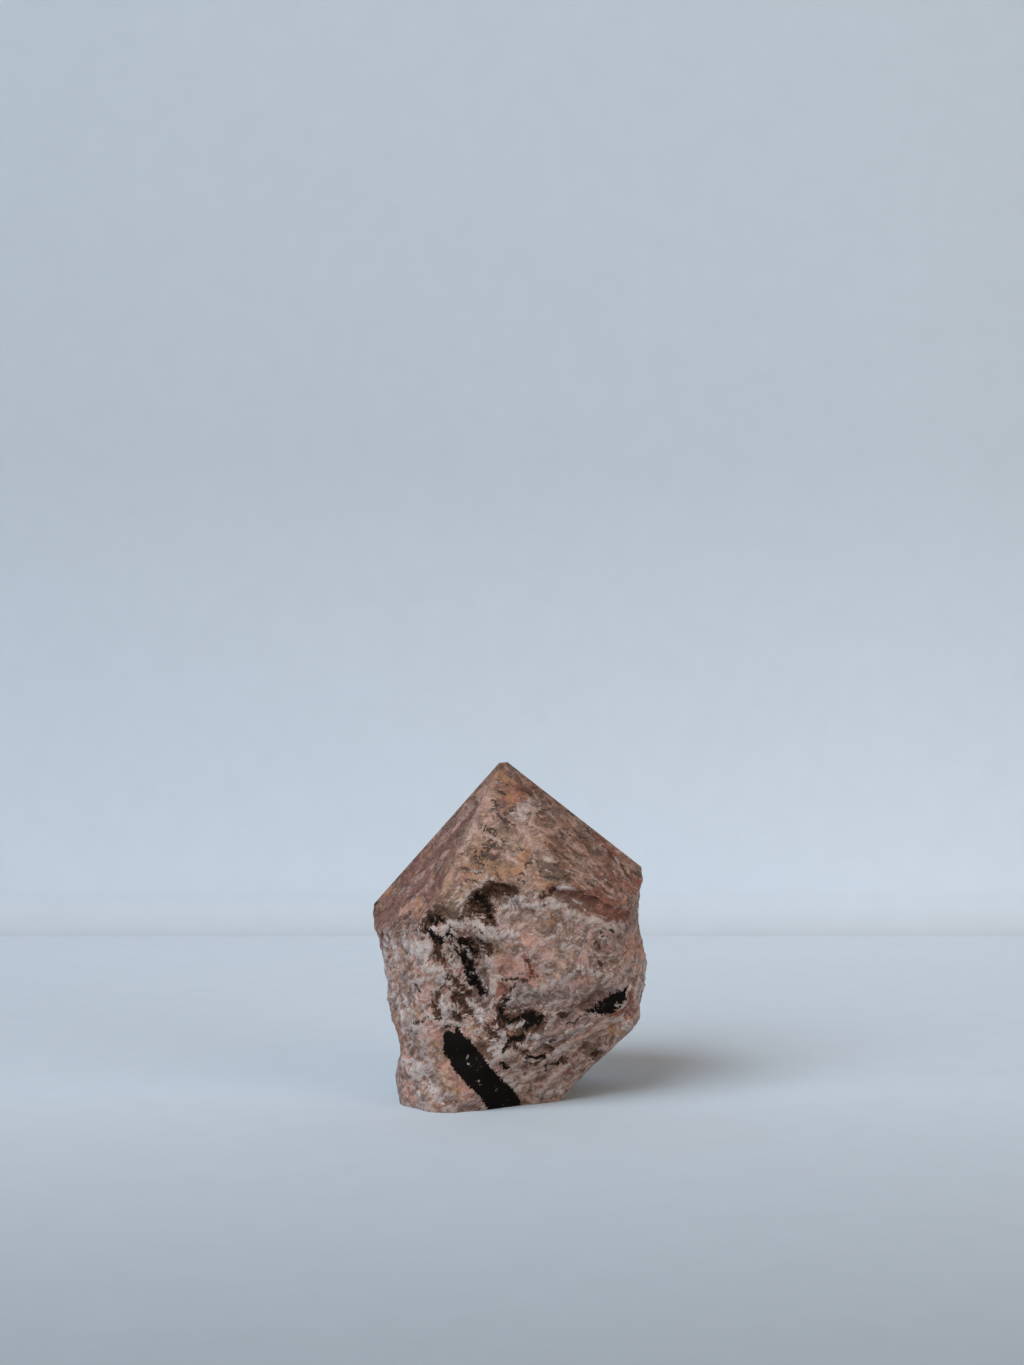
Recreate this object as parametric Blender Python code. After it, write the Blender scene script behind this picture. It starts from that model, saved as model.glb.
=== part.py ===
"""A moonstone point: a broken column of pink feldspar, sawn flat at the foot and ground to six flat facets
that meet in a blunt tip. The sides are left rough, as they broke.

Lengths are in millimetres and angles in degrees, and MM turns a finished point into Blender's metres.
An azimuth is 0 at the front (-Y), 90 at the right (+X), 180 at the back and -90 at the left.
The origin is on the sawn foot, and +Z runs up to the tip.
"""

import math
from collections import namedtuple

import bmesh
import bpy
from mathutils import Vector, noise

MM = 0.001

# Driving dimensions
HEIGHT = 62.0  # foot to the blunt tip
TIP = Vector((-1.7, 0.0, 62.75))  # where the six facets would meet in a sharp point
TIP_LEAN = 6.0  # the blunt tip faces this far to the left of straight up
BLANK_BELOW = 3.0  # rough stone below the saw cut
BLANK_ABOVE = 6.0  # rough stone above the tip
BLANK_SIDES = 200  # columns of vertices round the blank
BLANK_RINGS = 100  # rings of vertices up the blank
KEPT_SHARE = 0.28  # the share of the blank's triangles left once flat places are thinned
EDGE_SHARPNESS = 26.0  # how crisply the broken faces meet: higher is crisper
FACE_RADIUS = 20.0  # the stone's mean radius, which turns an azimuth into a length along the surface

# A ground facet: which way it faces, and its slope from the horizontal. All six pass through TIP.
Facet = namedtuple("Facet", "name azimuth slope")
FACETS = (
    Facet("left", -60.0, 54.4),
    Facet("front", -10.7, 55.1),
    Facet("right", 47.5, 46.9),
    Facet("back right", 114.0, 40.5),
    Facet("back", 174.0, 50.0),
    Facet("back left", -123.0, 51.5),
)

# A broken face of the rough column: which way it faces, how far it leans back (a negative lean overhangs),
# and its distance from the axis at the height given.
Break = namedtuple("Break", "name azimuth lean reach height")
BREAKS = (
    Break("left flank", -88.0, -9.8, 19.9, 0.0),
    Break("left corner", -50.0, -1.5, 21.9, 0.0),
    Break("front", -4.0, 0.5, 17.8, 20.0),
    Break("under the belly", 27.0, -26.0, 10.4, 0.0),
    Break("belly", 14.0, 2.0, 19.6, 30.0),
    Break("right corner", 56.0, 1.0, 23.8, 28.0),
    Break("right flank", 91.0, -0.5, 23.9, 25.0),
    Break("right undercut", 88.0, -46.0, 9.0, 0.0),
    Break("back right undercut", 128.0, -40.0, 12.6, 0.0),
    Break("back right", 138.0, -2.0, 23.5, 25.0),
    Break("back", 178.0, -5.0, 20.8, 20.0),
    Break("back left", -132.0, -4.0, 22.4, 20.0),
)

# A rounded lump, or a hollow where rise is negative. wide and tall are half its size along and up the surface
# before it is turned by tilt, which lifts its right end.
Swell = namedtuple("Swell", "name azimuth height wide tall tilt rise")
SWELLS = (
    Swell("foot bump", -76.0, 1.5, 9.0, 4.5, 0.0, 0.9),
    Swell("waist over the foot", -74.0, 11.0, 10.0, 6.0, 0.0, -0.5),
    Swell("worn left shoulder", -78.0, 36.5, 4.5, 3.6, 0.0, -0.9),
    Swell("valley beside the column", -23.0, 26.5, 3.4, 10.5, 14.0, -2.4),
    Swell("column crest", -44.0, 22.0, 4.6, 16.0, 4.0, 0.9),
    Swell("hollow under the front facet", -12.0, 38.6, 7.5, 4.2, 8.0, -2.6),
    Swell("hollow under the left ridge", -41.0, 35.0, 3.4, 3.2, 30.0, -1.4),
    Swell("ledge", -10.0, 32.2, 12.0, 2.6, -4.0, 0.9),
    Swell("belly crown", 20.0, 26.5, 12.0, 7.0, -12.0, 1.0),
    Swell("groove under the right facet", 40.0, 37.2, 8.5, 2.2, -22.0, -1.8),
    Swell("lip over the groove", 44.0, 33.4, 9.0, 2.0, -22.0, 0.5),
    Swell("pocket in the right corner", 46.0, 20.0, 4.6, 2.4, 28.0, -1.6),
    Swell("hollow under the belly", 8.0, 17.5, 6.5, 4.5, 26.0, -1.5),
    Swell("bulge of the right flank", 88.0, 24.0, 7.0, 6.0, 0.0, 0.6),
    Swell("dip under the right shoulder", 88.0, 34.5, 8.0, 5.0, 0.0, -0.5),
    Swell("splintered rib", 26.0, 9.0, 12.0, 1.5, 36.0, 0.7),
    Swell("second rib", 34.0, 5.0, 9.0, 1.3, 38.0, 0.6),
    Swell("scoop in the back", 168.0, 24.0, 9.0, 11.0, 20.0, -2.2),
    Swell("rib up the back", -150.0, 20.0, 3.5, 17.0, -8.0, 1.4),
    Swell("back ledge", 150.0, 34.0, 11.0, 3.0, 12.0, 1.0),
    Swell("scoop in the left flank", -104.0, 22.0, 6.0, 9.0, -12.0, -1.3),
    Swell("back foot", 172.0, 3.0, 10.0, 5.0, 0.0, 1.0),
)

# The uneven break itself, over the faces above
ROLL_SIZE, ROLL_RISE = 12.0, 0.6  # slow waves
ROLL_PLACE = Vector((4.1, 0.0, 2.7))  # which stretch of the waves this stone has
CHIP_SIZE, CHIP_RISE = 8.0, 1.0  # chips with a crease between each and the next
CHIP_OCTAVES = 3  # chips, with smaller ones on them
CHIP_MEAN = 0.35  # what is taken off the chips so that they rise and sink alike
GRAIN_LEAN = 37.0  # the stone splits along layers that climb to the right by this much
GRAIN_SLANT = 0.25  # and that sink towards the front by this share
GRAIN_SQUEEZE = 1.8  # chips are this much thinner across the layers than along them
STEP_SIZE, STEP_RISE = 5.5, 0.35  # the layers' broken edges
STEP_DROP = 4.0  # a layer's edge drops this many times as steeply as its back climbs
STEP_WANDER = 1.2  # how far the edges stray, in steps

FELDSPAR_COLOUR = (0.36, 0.24, 0.20, 1.0)
FELDSPAR_ROUGHNESS = 0.55


def clear_scene():
    for obj in list(bpy.data.objects):
        bpy.data.objects.remove(obj)


def heading(azimuth):
    """The level direction of an azimuth given in radians."""
    return Vector((math.sin(azimuth), -math.cos(azimuth), 0.0))


def break_distance(break_, azimuth, height):
    """How far out the break lies from the axis, or None where it faces away."""
    lean = math.radians(break_.lean)
    facing = heading(math.radians(break_.azimuth))
    out = facing.dot(heading(azimuth))
    if out < 0.05:
        return None
    at_height = break_.reach - math.tan(lean) * (height - break_.height)
    return max(at_height, 1.0) / out


def column_radius(azimuth, height):
    """The distance out to the nearest break, with the edges between breaks slightly worn."""
    total = 0.0
    for break_ in BREAKS:
        distance = break_distance(break_, azimuth, height)
        if distance is not None:
            total += distance**-EDGE_SHARPNESS
    return total ** (-1.0 / EDGE_SHARPNESS)


def swell_rise(azimuth, height):
    """The lumps and hollows, added up."""
    total = 0.0
    for swell in SWELLS:
        turn = azimuth - math.radians(swell.azimuth)
        turn = (turn + math.pi) % (2.0 * math.pi) - math.pi
        along, up = turn * FACE_RADIUS, height - swell.height
        tilt = math.radians(swell.tilt)
        across = (along * math.cos(tilt) + up * math.sin(tilt)) / swell.wide
        over = (up * math.cos(tilt) - along * math.sin(tilt)) / swell.tall
        inside = 1.0 - across * across - over * over
        if inside > 0.0:
            total += swell.rise * inside * inside * (3.0 - 2.0 * inside)
    return total


def across_the_layers():
    lean = math.radians(GRAIN_LEAN)
    return Vector((-math.sin(lean), GRAIN_SLANT, math.cos(lean))).normalized()


def chip_rise(point):
    """Rounded chips with sharp creases between them, drawn out along the layers."""
    across = across_the_layers()
    place = (point + across * (point.dot(across) * (GRAIN_SQUEEZE - 1.0))) / CHIP_SIZE
    return CHIP_RISE * (noise.turbulence(place, CHIP_OCTAVES, True) - CHIP_MEAN)


def step_rise(point):
    """The broken edges of the layers: a slow climb and a steep drop."""
    wander = STEP_WANDER * noise.noise(point / ROLL_SIZE)
    phase = (point.dot(across_the_layers()) / STEP_SIZE + wander) % 1.0
    return STEP_RISE * (min(phase, STEP_DROP * (1.0 - phase)) - 0.4)


def rough_point(azimuth, height):
    """A point on the rough column, as it broke."""
    out = heading(azimuth)
    radius = column_radius(azimuth, height) + swell_rise(azimuth, height)
    point = out * radius + Vector((0.0, 0.0, height))
    roll = ROLL_RISE * noise.noise(point / ROLL_SIZE + ROLL_PLACE)
    return point + out * (roll + chip_rise(point) + step_rise(point))


def thinned(bm):
    """The same shape with fewer triangles: large ones where the break is flat, small ones along its edges."""
    mesh = bpy.data.meshes.new("blank")
    bm.to_mesh(mesh)
    bm.free()
    blank = bpy.data.objects.new("blank", mesh)
    bpy.context.scene.collection.objects.link(blank)
    thin = blank.modifiers.new("thin", "DECIMATE")
    thin.ratio = KEPT_SHARE
    fewer = bmesh.new()
    fewer.from_object(blank, bpy.context.evaluated_depsgraph_get())
    bpy.data.objects.remove(blank)
    bpy.data.meshes.remove(mesh)
    return fewer


def rough_column():
    """The blank: a drum with rings of vertices, each moved out to the broken surface."""
    bm = bmesh.new()
    depth = HEIGHT + BLANK_BELOW + BLANK_ABOVE
    bmesh.ops.create_cone(
        bm, cap_ends=True, segments=BLANK_SIDES, radius1=FACE_RADIUS, radius2=FACE_RADIUS, depth=depth
    )
    bmesh.ops.translate(bm, verts=bm.verts, vec=(0.0, 0.0, depth / 2.0 - BLANK_BELOW))
    uprights = [e for e in bm.edges if abs(e.verts[0].co.z - e.verts[1].co.z) > depth / 2.0]
    bmesh.ops.subdivide_edges(bm, edges=uprights, cuts=BLANK_RINGS - 1)
    for vert in bm.verts:
        vert.co = rough_point(math.atan2(vert.co.x, -vert.co.y), vert.co.z)
    return thinned(bm)


def cut_flat(bm, point, outward):
    """Takes off what lies past the plane, and closes the cut with one flat face."""
    geometry = bm.verts[:] + bm.edges[:] + bm.faces[:]
    cut = bmesh.ops.bisect_plane(bm, geom=geometry, plane_co=point, plane_no=outward, clear_outer=True)
    rim = [piece for piece in cut["geom_cut"] if isinstance(piece, bmesh.types.BMEdge)]
    bmesh.ops.holes_fill(bm, edges=rim, sides=0)


def grind_facets(bm):
    for facet in FACETS:
        slope = math.radians(facet.slope)
        outward = heading(math.radians(facet.azimuth)) * math.sin(slope)
        outward.z = math.cos(slope)
        cut_flat(bm, TIP, outward)
    lean = math.radians(TIP_LEAN)
    cut_flat(bm, Vector((TIP.x, TIP.y, HEIGHT)), Vector((-math.sin(lean), 0.0, math.cos(lean))))


def saw_foot(bm):
    cut_flat(bm, Vector((0.0, 0.0, 0.0)), Vector((0.0, 0.0, -1.0)))


def feldspar():
    material = bpy.data.materials.new("moonstone")
    material.use_nodes = True
    shader = material.node_tree.nodes["Principled BSDF"]
    shader.inputs["Base Color"].default_value = FELDSPAR_COLOUR
    shader.inputs["Roughness"].default_value = FELDSPAR_ROUGHNESS
    shader.inputs["Metallic"].default_value = 0.0
    return material


def make_stone(collection):
    bm = rough_column()
    grind_facets(bm)
    saw_foot(bm)
    bmesh.ops.remove_doubles(bm, verts=bm.verts, dist=0.01)
    bmesh.ops.scale(bm, verts=bm.verts, vec=(MM, MM, MM))
    bmesh.ops.triangulate(bm, faces=bm.faces)
    bmesh.ops.recalc_face_normals(bm, faces=bm.faces)
    mesh = bpy.data.meshes.new("moonstone")
    bm.to_mesh(mesh)
    bm.free()
    mesh.materials.append(feldspar())
    stone = bpy.data.objects.new("moonstone", mesh)
    collection.objects.link(stone)
    return stone


def main():
    clear_scene()
    collection = bpy.data.collections.new("Moonstone point")
    bpy.context.scene.collection.children.link(collection)
    make_stone(collection)


main()
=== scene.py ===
import math
from collections import namedtuple

import bmesh
import bpy
import numpy as np
from bpy.props import FloatProperty, FloatVectorProperty, IntProperty, PointerProperty
from mathutils import Matrix, Vector, kdtree, noise
from mathutils.bvhtree import BVHTree


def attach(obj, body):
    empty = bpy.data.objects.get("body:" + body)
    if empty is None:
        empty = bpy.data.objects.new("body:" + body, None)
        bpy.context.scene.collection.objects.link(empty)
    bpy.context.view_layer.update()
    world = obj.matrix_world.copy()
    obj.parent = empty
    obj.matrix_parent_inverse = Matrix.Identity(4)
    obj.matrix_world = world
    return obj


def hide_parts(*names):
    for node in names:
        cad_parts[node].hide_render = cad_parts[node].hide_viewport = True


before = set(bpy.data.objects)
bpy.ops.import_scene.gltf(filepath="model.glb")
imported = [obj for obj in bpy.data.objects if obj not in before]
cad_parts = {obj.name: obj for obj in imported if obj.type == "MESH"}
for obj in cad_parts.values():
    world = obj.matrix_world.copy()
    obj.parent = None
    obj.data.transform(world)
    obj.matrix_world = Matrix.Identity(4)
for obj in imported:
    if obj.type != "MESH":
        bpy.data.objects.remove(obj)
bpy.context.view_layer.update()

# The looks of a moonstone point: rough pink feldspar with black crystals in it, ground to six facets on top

bl_info = {
    "name": "Moonstone Point",
    "version": (1, 0, 0),
    "blender": (4, 5, 0),
    "location": "View3D > Sidebar > Moonstone",
    "description": "Dresses a packed moonstone point in broken and ground feldspar",
    "category": "Add Mesh",
}

NODE = "moonstone"
BODY = "root"
MM = 0.001

# Each run breaks the stone the same way
NOISE_SEED = 7

# The camera: level, in front of the stone and a little above its tip
CAMERA_DISTANCE = 0.3713
CAMERA_HEIGHT = 0.077
LENS = 52.24
SENSOR = 36.0

# How far the floor and wall reach, and how round the corner between them is
ROOM_REACH = 2.0
ROOM_CORNER = 0.012

# Sizes for painting and breaking, in millimetres: the step along a mark's path, how far a path sways and over
# what length, and how deep under a flat face the rough stone starts
PATH_STEP = 0.35
SWAY = 0.6
BAR_SWAY = 0.1
SWAY_LENGTH = 2.2
SKIN = 0.12

# Flat faces: the least area of one, in square millimetres, and how alike two facings are that lie in one face
LEAST_FLAT = 60.0
LEAST_PART = 5.0
SAME_FACING = 0.9995
SAME_LEVEL = 0.05

# Paints, each kept on the stone as a weight that is a half along a mark's edge. The softness is in
# millimetres.
SOFTNESS = {
    "bar": 0.8,
    "black": 1.1,
    "smoky": 1.1,
    "red": 1.8,
    "rust": 1.8,
    "pink": 2.0,
    "pale": 1.4,
    "mauve": 2.6,
    "dirty": 3.0,
    "cream": 2.6,
    "blush": 1.6,
    "olive": 1.4,
    "crack": 0.9,
    "vein_and_glint": 0.9,
    "lip": 2.2,
    "layered": 6.0,
    "chunky": 5.0,
}

# How far each paint's mark stands out of the stone, in millimetres
RISE = {"bar": 0.05, "black": -0.15, "smoky": -0.5, "red": -0.2, "pale": 0.2, "lip": 1.0}

# A mark is painted where the camera, carried round the stone to the azimuth given, sees it. A point of its
# path is (across, up, width): the place, in millimetres, is taken on an upright sheet through the stone's
# axis. Seen from under the stone, it is (right, back, width) on the floor.
Mark = namedtuple("Mark", "paint azimuth path")
FRONT, RIGHT, BACK, LEFT = 0.0, 90.0, 180.0, -90.0
UNDER = None

BLACK_BAR = (
    ((-11.9, 10.7, 2.2), (-11.8, 8.3, 2.2), (-9.9, 5.0, 2.2), (-7.6, 2.3, 2.2)),
    ((-7.6, 2.3, 2.2), (-5.2, 0.0, 2.2), (-3.3, -2.6, 2.2)),
    ((-10.2, 10.8, 2.0), (-8.4, 8.9, 2.2), (-6.3, 6.1, 2.2), (-4.4, 3.8, 2.2)),
    ((-4.4, 3.8, 2.2), (-2.6, 1.7, 2.2), (-0.4, -0.2, 2.2), (1.0, -2.6, 2.2)),
    ((-10.5, 9.5, 3.0), (-8.0, 5.6, 3.4), (-4.8, 2.0, 3.4), (-1.4, -2.6, 3.4)),
    ((-12.7, 8.8, 0.6), (-12.4, 7.2, 0.9)),
)

BLACK_STREAKS = (
    ((-15.5, 30.7, 0.9), (-14.5, 29.1, 1.3), (-13.4, 27.8, 0.6)),
    ((-12.0, 30.2, 0.8), (-10.5, 27.9, 0.9), (-9.4, 25.9, 0.9)),
    ((-9.4, 28.4, 0.7), (-7.8, 27.4, 1.0), (-6.8, 26.4, 0.7)),
    ((-9.2, 26.4, 1.0), (-8.4, 23.5, 1.7), (-7.2, 21.4, 2.3)),
    ((-7.2, 21.4, 2.1), (-6.0, 19.6, 1.6), (-4.9, 18.2, 0.6)),
    ((-9.2, 28.2, 0.5), (-7.6, 26.0, 0.8), (-7.0, 25.1, 0.4)),
    ((-15.4, 33.0, 0.7), (-14.4, 31.8, 1.1), (-13.6, 32.6, 0.8)),
    ((-12.9, 32.3, 0.8), (-12.4, 31.9, 0.6)),
    ((-0.9, 13.5, 0.9), (1.5, 14.4, 1.0), (3.4, 14.2, 1.6)),
    ((2.6, 12.2, 1.4), (4.4, 13.0, 1.4)),
    ((3.9, 14.0, 0.7), (6.6, 14.8, 0.5)),
    ((-0.1, 10.4, 1.2), (2.2, 10.6, 0.9)),
    ((-0.6, 9.7, 0.8), (-1.2, 8.0, 0.9)),
    ((2.9, 6.7, 0.4), (6.0, 7.3, 0.5)),
    ((6.4, 5.3, 0.8), (8.2, 5.9, 0.4)),
    ((-1.8, 5.2, 0.9), (-0.9, 4.7, 1.0)),
    ((-2.1, 14.6, 0.5), (-1.9, 16.9, 0.7), (-0.8, 17.6, 0.6)),
    ((14.6, 15.0, 0.9), (16.6, 15.4, 2.0), (18.0, 16.2, 3.4), (18.6, 17.0, 3.4)),
    ((18.6, 17.4, 3.2), (20.2, 18.0, 2.8), (21.0, 18.4, 1.8), (21.4, 19.8, 0.8)),
    ((-12.4, 12.6, 0.5), (-11.8, 12.9, 0.5)),
    ((-10.8, 12.4, 0.5), (-10.2, 12.0, 0.4)),
    ((17.6, 17.9, 0.9), (19.2, 18.6, 0.9)),
    ((-7.0, 36.4, 0.4), (-5.6, 35.0, 0.8)),
    ((-6.4, 37.2, 0.9), (-5.4, 36.6, 1.3), (-4.8, 35.4, 1.1), (-4.0, 33.6, 0.6)),
)

SMOKY_PATCHES = (
    ((-0.6, 14.2, 1.4), (3.4, 13.8, 3.0), (5.6, 13.8, 1.6)),
    ((2.8, 11.8, 1.6), (5.2, 12.6, 1.8)),
    ((-0.4, 9.8, 1.8), (2.0, 10.8, 1.8), (3.6, 9.8, 1.0)),
    ((-7.0, 36.2, 2.4), (-6.2, 34.8, 2.2), (-4.6, 34.2, 2.0)),
    ((-4.4, 37.6, 2.6), (-1.6, 38.0, 2.2), (0.8, 38.2, 1.2)),
    ((-6.6, 37.4, 2.4), (-5.0, 35.8, 2.6), (-3.8, 32.9, 1.6)),
    ((-5.4, 38.6, 2.0), (-2.6, 38.4, 2.0), (-0.2, 38.6, 1.6), (0.6, 37.8, 1.2)),
    ((-7.2, 34.6, 1.2), (-7.6, 33.4, 0.8)),
    ((-6.2, 28.6, 1.0), (-4.6, 26.6, 1.9)),
    ((-14.8, 29.2, 0.8), (-13.8, 26.4, 1.2), (-12.6, 24.4, 0.8)),
    ((-15.2, 33.8, 1.0), (-16.0, 32.4, 1.6), (-16.2, 30.4, 1.4)),
    ((-9.6, 28.6, 1.2), (-6.6, 27.8, 1.4), (-7.0, 26.0, 1.6)),
    ((-9.0, 26.0, 2.2), (-7.6, 24.0, 1.6)),
    ((-10.3, 18.2, 1.8), (-9.0, 16.8, 2.2), (-8.3, 15.6, 1.2)),
    ((-10.8, 15.0, 1.0), (-9.8, 13.9, 0.8)),
    ((-9.0, 15.0, 0.8), (-7.0, 15.4, 0.9)),
    ((-12.6, 19.8, 0.7), (-14.2, 18.0, 1.1), (-14.5, 16.0, 0.9), (-13.9, 13.7, 0.8)),
    ((-11.7, 22.2, 0.9), (-10.6, 20.8, 0.8)),
    ((-9.7, 20.1, 0.9), (-8.1, 19.2, 0.8)),
    ((-2.6, 15.6, 1.6), (-1.6, 12.4, 1.8)),
    ((9.2, 6.4, 1.1), (9.6, 5.6, 0.7)),
    ((9.3, 14.8, 0.8), (9.9, 14.5, 0.5)),
    ((15.4, 7.3, 1.3), (16.6, 7.6, 0.9)),
    ((5.6, 36.8, 0.8), (8.3, 38.1, 0.6)),
    ((-3.4, 11.2, 0.8), (-1.4, 9.4, 1.0)),
    ((0.8, 8.4, 0.7), (2.8, 7.6, 0.6)),
    ((-5.0, 12.6, 0.6), (-3.6, 10.6, 0.8)),
    ((5.2, 9.6, 0.4), (7.4, 8.4, 0.6)),
)

OLIVE_GRAINS = (
    ((-13.8, 34.4, 2.2), (-11.4, 34.8, 3.2)),
    ((-3.0, 38.3, 1.4), (0.8, 38.5, 1.8)),
    ((-8.4, 34.2, 2.2), (-7.0, 33.0, 1.4)),
    ((5.2, 43.2, 1.2), (7.2, 41.4, 3.0), (9.6, 40.5, 2.6)),
    ((8.2, 45.4, 1.2), (11.2, 43.7, 1.2)),
    ((-5.8, 9.0, 2.2), (-4.2, 7.4, 1.6)),
    ((1.4, 12.8, 2.4), (5.6, 12.0, 2.0)),
    ((13.8, 8.6, 2.0), (16.2, 7.2, 2.0)),
)

CREAM_PATCHES = (
    ((-13.4, 37.0, 2.0), (-10.0, 44.6, 3.6), (-6.6, 50.4, 3.8), (-4.2, 56.6, 2.0)),
    ((-6.8, 49.8, 3.0), (-1.0, 48.4, 3.4)),
    ((-11.6, 35.4, 1.2), (-8.4, 38.0, 2.0), (-5.4, 40.6, 1.4)),
    ((0.6, 46.0, 2.6), (5.6, 47.6, 2.0)),
)

LIGHT_GRAINS = (
    ((12.2, 20.4, 1.6), (15.6, 22.4, 2.0)),
    ((17.4, 26.4, 1.8), (19.6, 30.0, 1.6)),
    ((13.4, 25.6, 1.4), (14.6, 29.4, 1.8)),
    ((5.8, 1.8, 1.8), (9.8, 4.4, 1.8)),
    ((10.8, 10.0, 1.4), (16.2, 12.0, 1.8)),
    ((20.8, 21.4, 1.4), (22.0, 26.0, 1.6)),
    ((-21.4, 26.0, 1.4), (-20.2, 15.0, 1.4)),
    ((-17.4, 22.4, 1.4), (-16.0, 18.6, 1.4)),
    ((-19.6, 6.2, 2.6), (-17.0, 2.6, 3.0), (-14.6, -0.4, 2.4)),
    ((-16.6, 10.8, 1.6), (-15.2, 7.4, 1.4)),
    ((-20.0, 37.6, 1.2), (-12.0, 45.4, 1.4)),
    ((-10.4, 50.2, 1.0), (-7.2, 53.6, 1.0)),
    ((-5.4, 56.6, 1.2), (-4.8, 53.4, 1.8)),
    ((-5.0, 51.4, 1.6), (-2.8, 50.9, 1.4)),
    ((-1.8, 45.4, 1.4), (0.6, 43.6, 2.4)),
    ((1.6, 49.0, 1.4), (4.0, 50.4, 1.6)),
    ((2.8, 47.4, 1.4), (5.6, 46.0, 1.4)),
    ((3.2, 41.4, 1.8), (5.2, 39.4, 2.0)),
    ((-9.6, 42.8, 1.4), (-10.6, 39.6, 1.6)),
    ((-10.2, 45.8, 1.0), (-8.2, 44.4, 1.0)),
    ((9.4, 49.8, 1.4), (7.6, 51.0, 1.2)),
    ((10.4, 47.4, 1.4), (12.6, 45.8, 1.6)),
    ((15.6, 43.0, 1.2), (13.6, 45.2, 1.4)),
    ((19.8, 41.4, 1.2), (22.4, 42.6, 1.2)),
    ((16.6, 39.4, 1.0), (19.6, 37.2, 1.2)),
    ((9.8, 40.0, 0.8), (12.8, 41.2, 1.2)),
    ((-18.4, 36.2, 1.2), (-15.6, 39.4, 1.2)),
    ((-13.0, 47.6, 0.8), (-11.0, 49.6, 0.8)),
    ((-8.6, 47.2, 1.8), (-6.8, 50.0, 2.0), (-5.8, 53.0, 1.6)),
    ((-8.4, 42.4, 1.4), (-7.0, 45.0, 1.0)),
    ((1.2, 51.4, 2.4), (3.4, 53.4, 2.6), (4.6, 51.6, 1.8)),
    ((5.4, 49.2, 1.4), (7.2, 48.6, 1.6)),
    ((-1.2, 41.4, 1.0), (1.8, 40.4, 1.6)),
    ((-2.2, 24.4, 1.6), (1.0, 24.0, 2.2), (3.6, 22.8, 1.4)),
    ((5.0, 27.4, 1.4), (9.0, 25.4, 2.0), (12.0, 24.2, 1.4)),
)

RED_STAINS = (
    ((-14.8, 27.8, 0.8), (-13.3, 25.9, 1.3), (-12.0, 23.8, 0.9)),
    ((8.6, 38.0, 0.8), (11.4, 37.6, 1.6), (14.4, 36.8, 2.6), (17.6, 35.6, 2.8), (21.4, 33.2, 2.0)),
    ((14.0, 35.0, 1.0), (17.6, 34.0, 1.8), (21.6, 32.2, 1.2)),
    ((12.0, 38.4, 0.8), (16.0, 37.2, 1.6), (20.0, 35.6, 1.6)),
    ((0.6, 56.9, 2.2), (1.3, 55.8, 1.8)),
    ((-2.2, 20.3, 0.8), (-3.3, 16.4, 1.1)),
    ((2.4, 25.0, 0.6), (4.2, 22.3, 0.8)),
    ((14.6, 42.8, 0.9), (16.6, 40.9, 1.1), (18.8, 39.0, 1.0)),
    ((15.9, 48.3, 1.1), (18.7, 46.1, 1.5), (19.4, 44.2, 1.0)),
    ((2.5, 55.8, 0.5), (3.9, 57.3, 0.5)),
    ((19.4, 15.2, 1.0), (22.2, 15.4, 2.4), (22.6, 18.2, 2.0)),
    ((-6.6, 13.8, 0.8), (-3.6, 13.2, 1.2)),
)

RUST_STAINS = (
    ((-23.5, 37.9, 1.2), (-23.2, 37.2, 1.0)),
    ((-6.8, 44.6, 2.0), (-3.0, 42.0, 3.0), (1.0, 42.0, 3.4), (3.2, 45.5, 2.2)),
    ((4.6, 40.6, 1.6), (5.6, 38.6, 2.4), (7.6, 38.3, 1.2)),
    ((-9.4, 42.8, 0.9), (-7.4, 41.6, 1.2), (-5.0, 41.4, 0.7)),
    ((-2.6, 60.2, 1.6), (0.3, 57.4, 2.6), (-1.0, 54.2, 2.4)),
    ((-20.0, 24.0, 1.6), (-18.7, 22.6, 2.2)),
    ((-21.7, 22.6, 1.0), (-21.5, 21.4, 1.0)),
    ((-20.4, 19.9, 1.0), (-19.3, 19.3, 1.3)),
    ((-18.4, 16.2, 1.8), (-17.3, 14.8, 1.6)),
    ((-18.7, 10.9, 1.5), (-17.6, 9.0, 1.6)),
    ((-21.9, 14.3, 1.0), (-21.4, 11.2, 1.2)),
    ((-17.4, 1.6, 1.8), (-15.6, -0.9, 2.4)),
    ((-3.7, 27.3, 1.1), (-1.9, 25.7, 1.4)),
    ((7.2, 33.2, 1.8), (8.6, 32.6, 1.6)),
    ((-8.0, 12.4, 1.0), (-5.2, 9.8, 1.6)),
    ((-12.4, 2.2, 1.6), (-10.4, 0.2, 1.6)),
    ((-14.8, 8.6, 1.8), (-13.9, 6.9, 1.4)),
)

PINK_PATCHES = (
    ((-2.6, 24.2, 3.0), (1.0, 23.4, 4.4), (4.0, 21.8, 3.0)),
    ((0.4, 29.2, 1.8), (4.0, 28.4, 1.6)),
    ((-20.8, 34.0, 2.0), (-17.0, 36.0, 2.0)),
    ((-12.2, 5.4, 3.0), (-8.4, 0.0, 3.0)),
    ((22.6, 14.4, 1.8), (21.0, 13.4, 2.0)),
    ((-19.6, 0.8, 2.6), (-18.6, -1.0, 2.4)),
    ((-15.6, 12.6, 1.6), (-13.8, 11.0, 1.8)),
)

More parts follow.
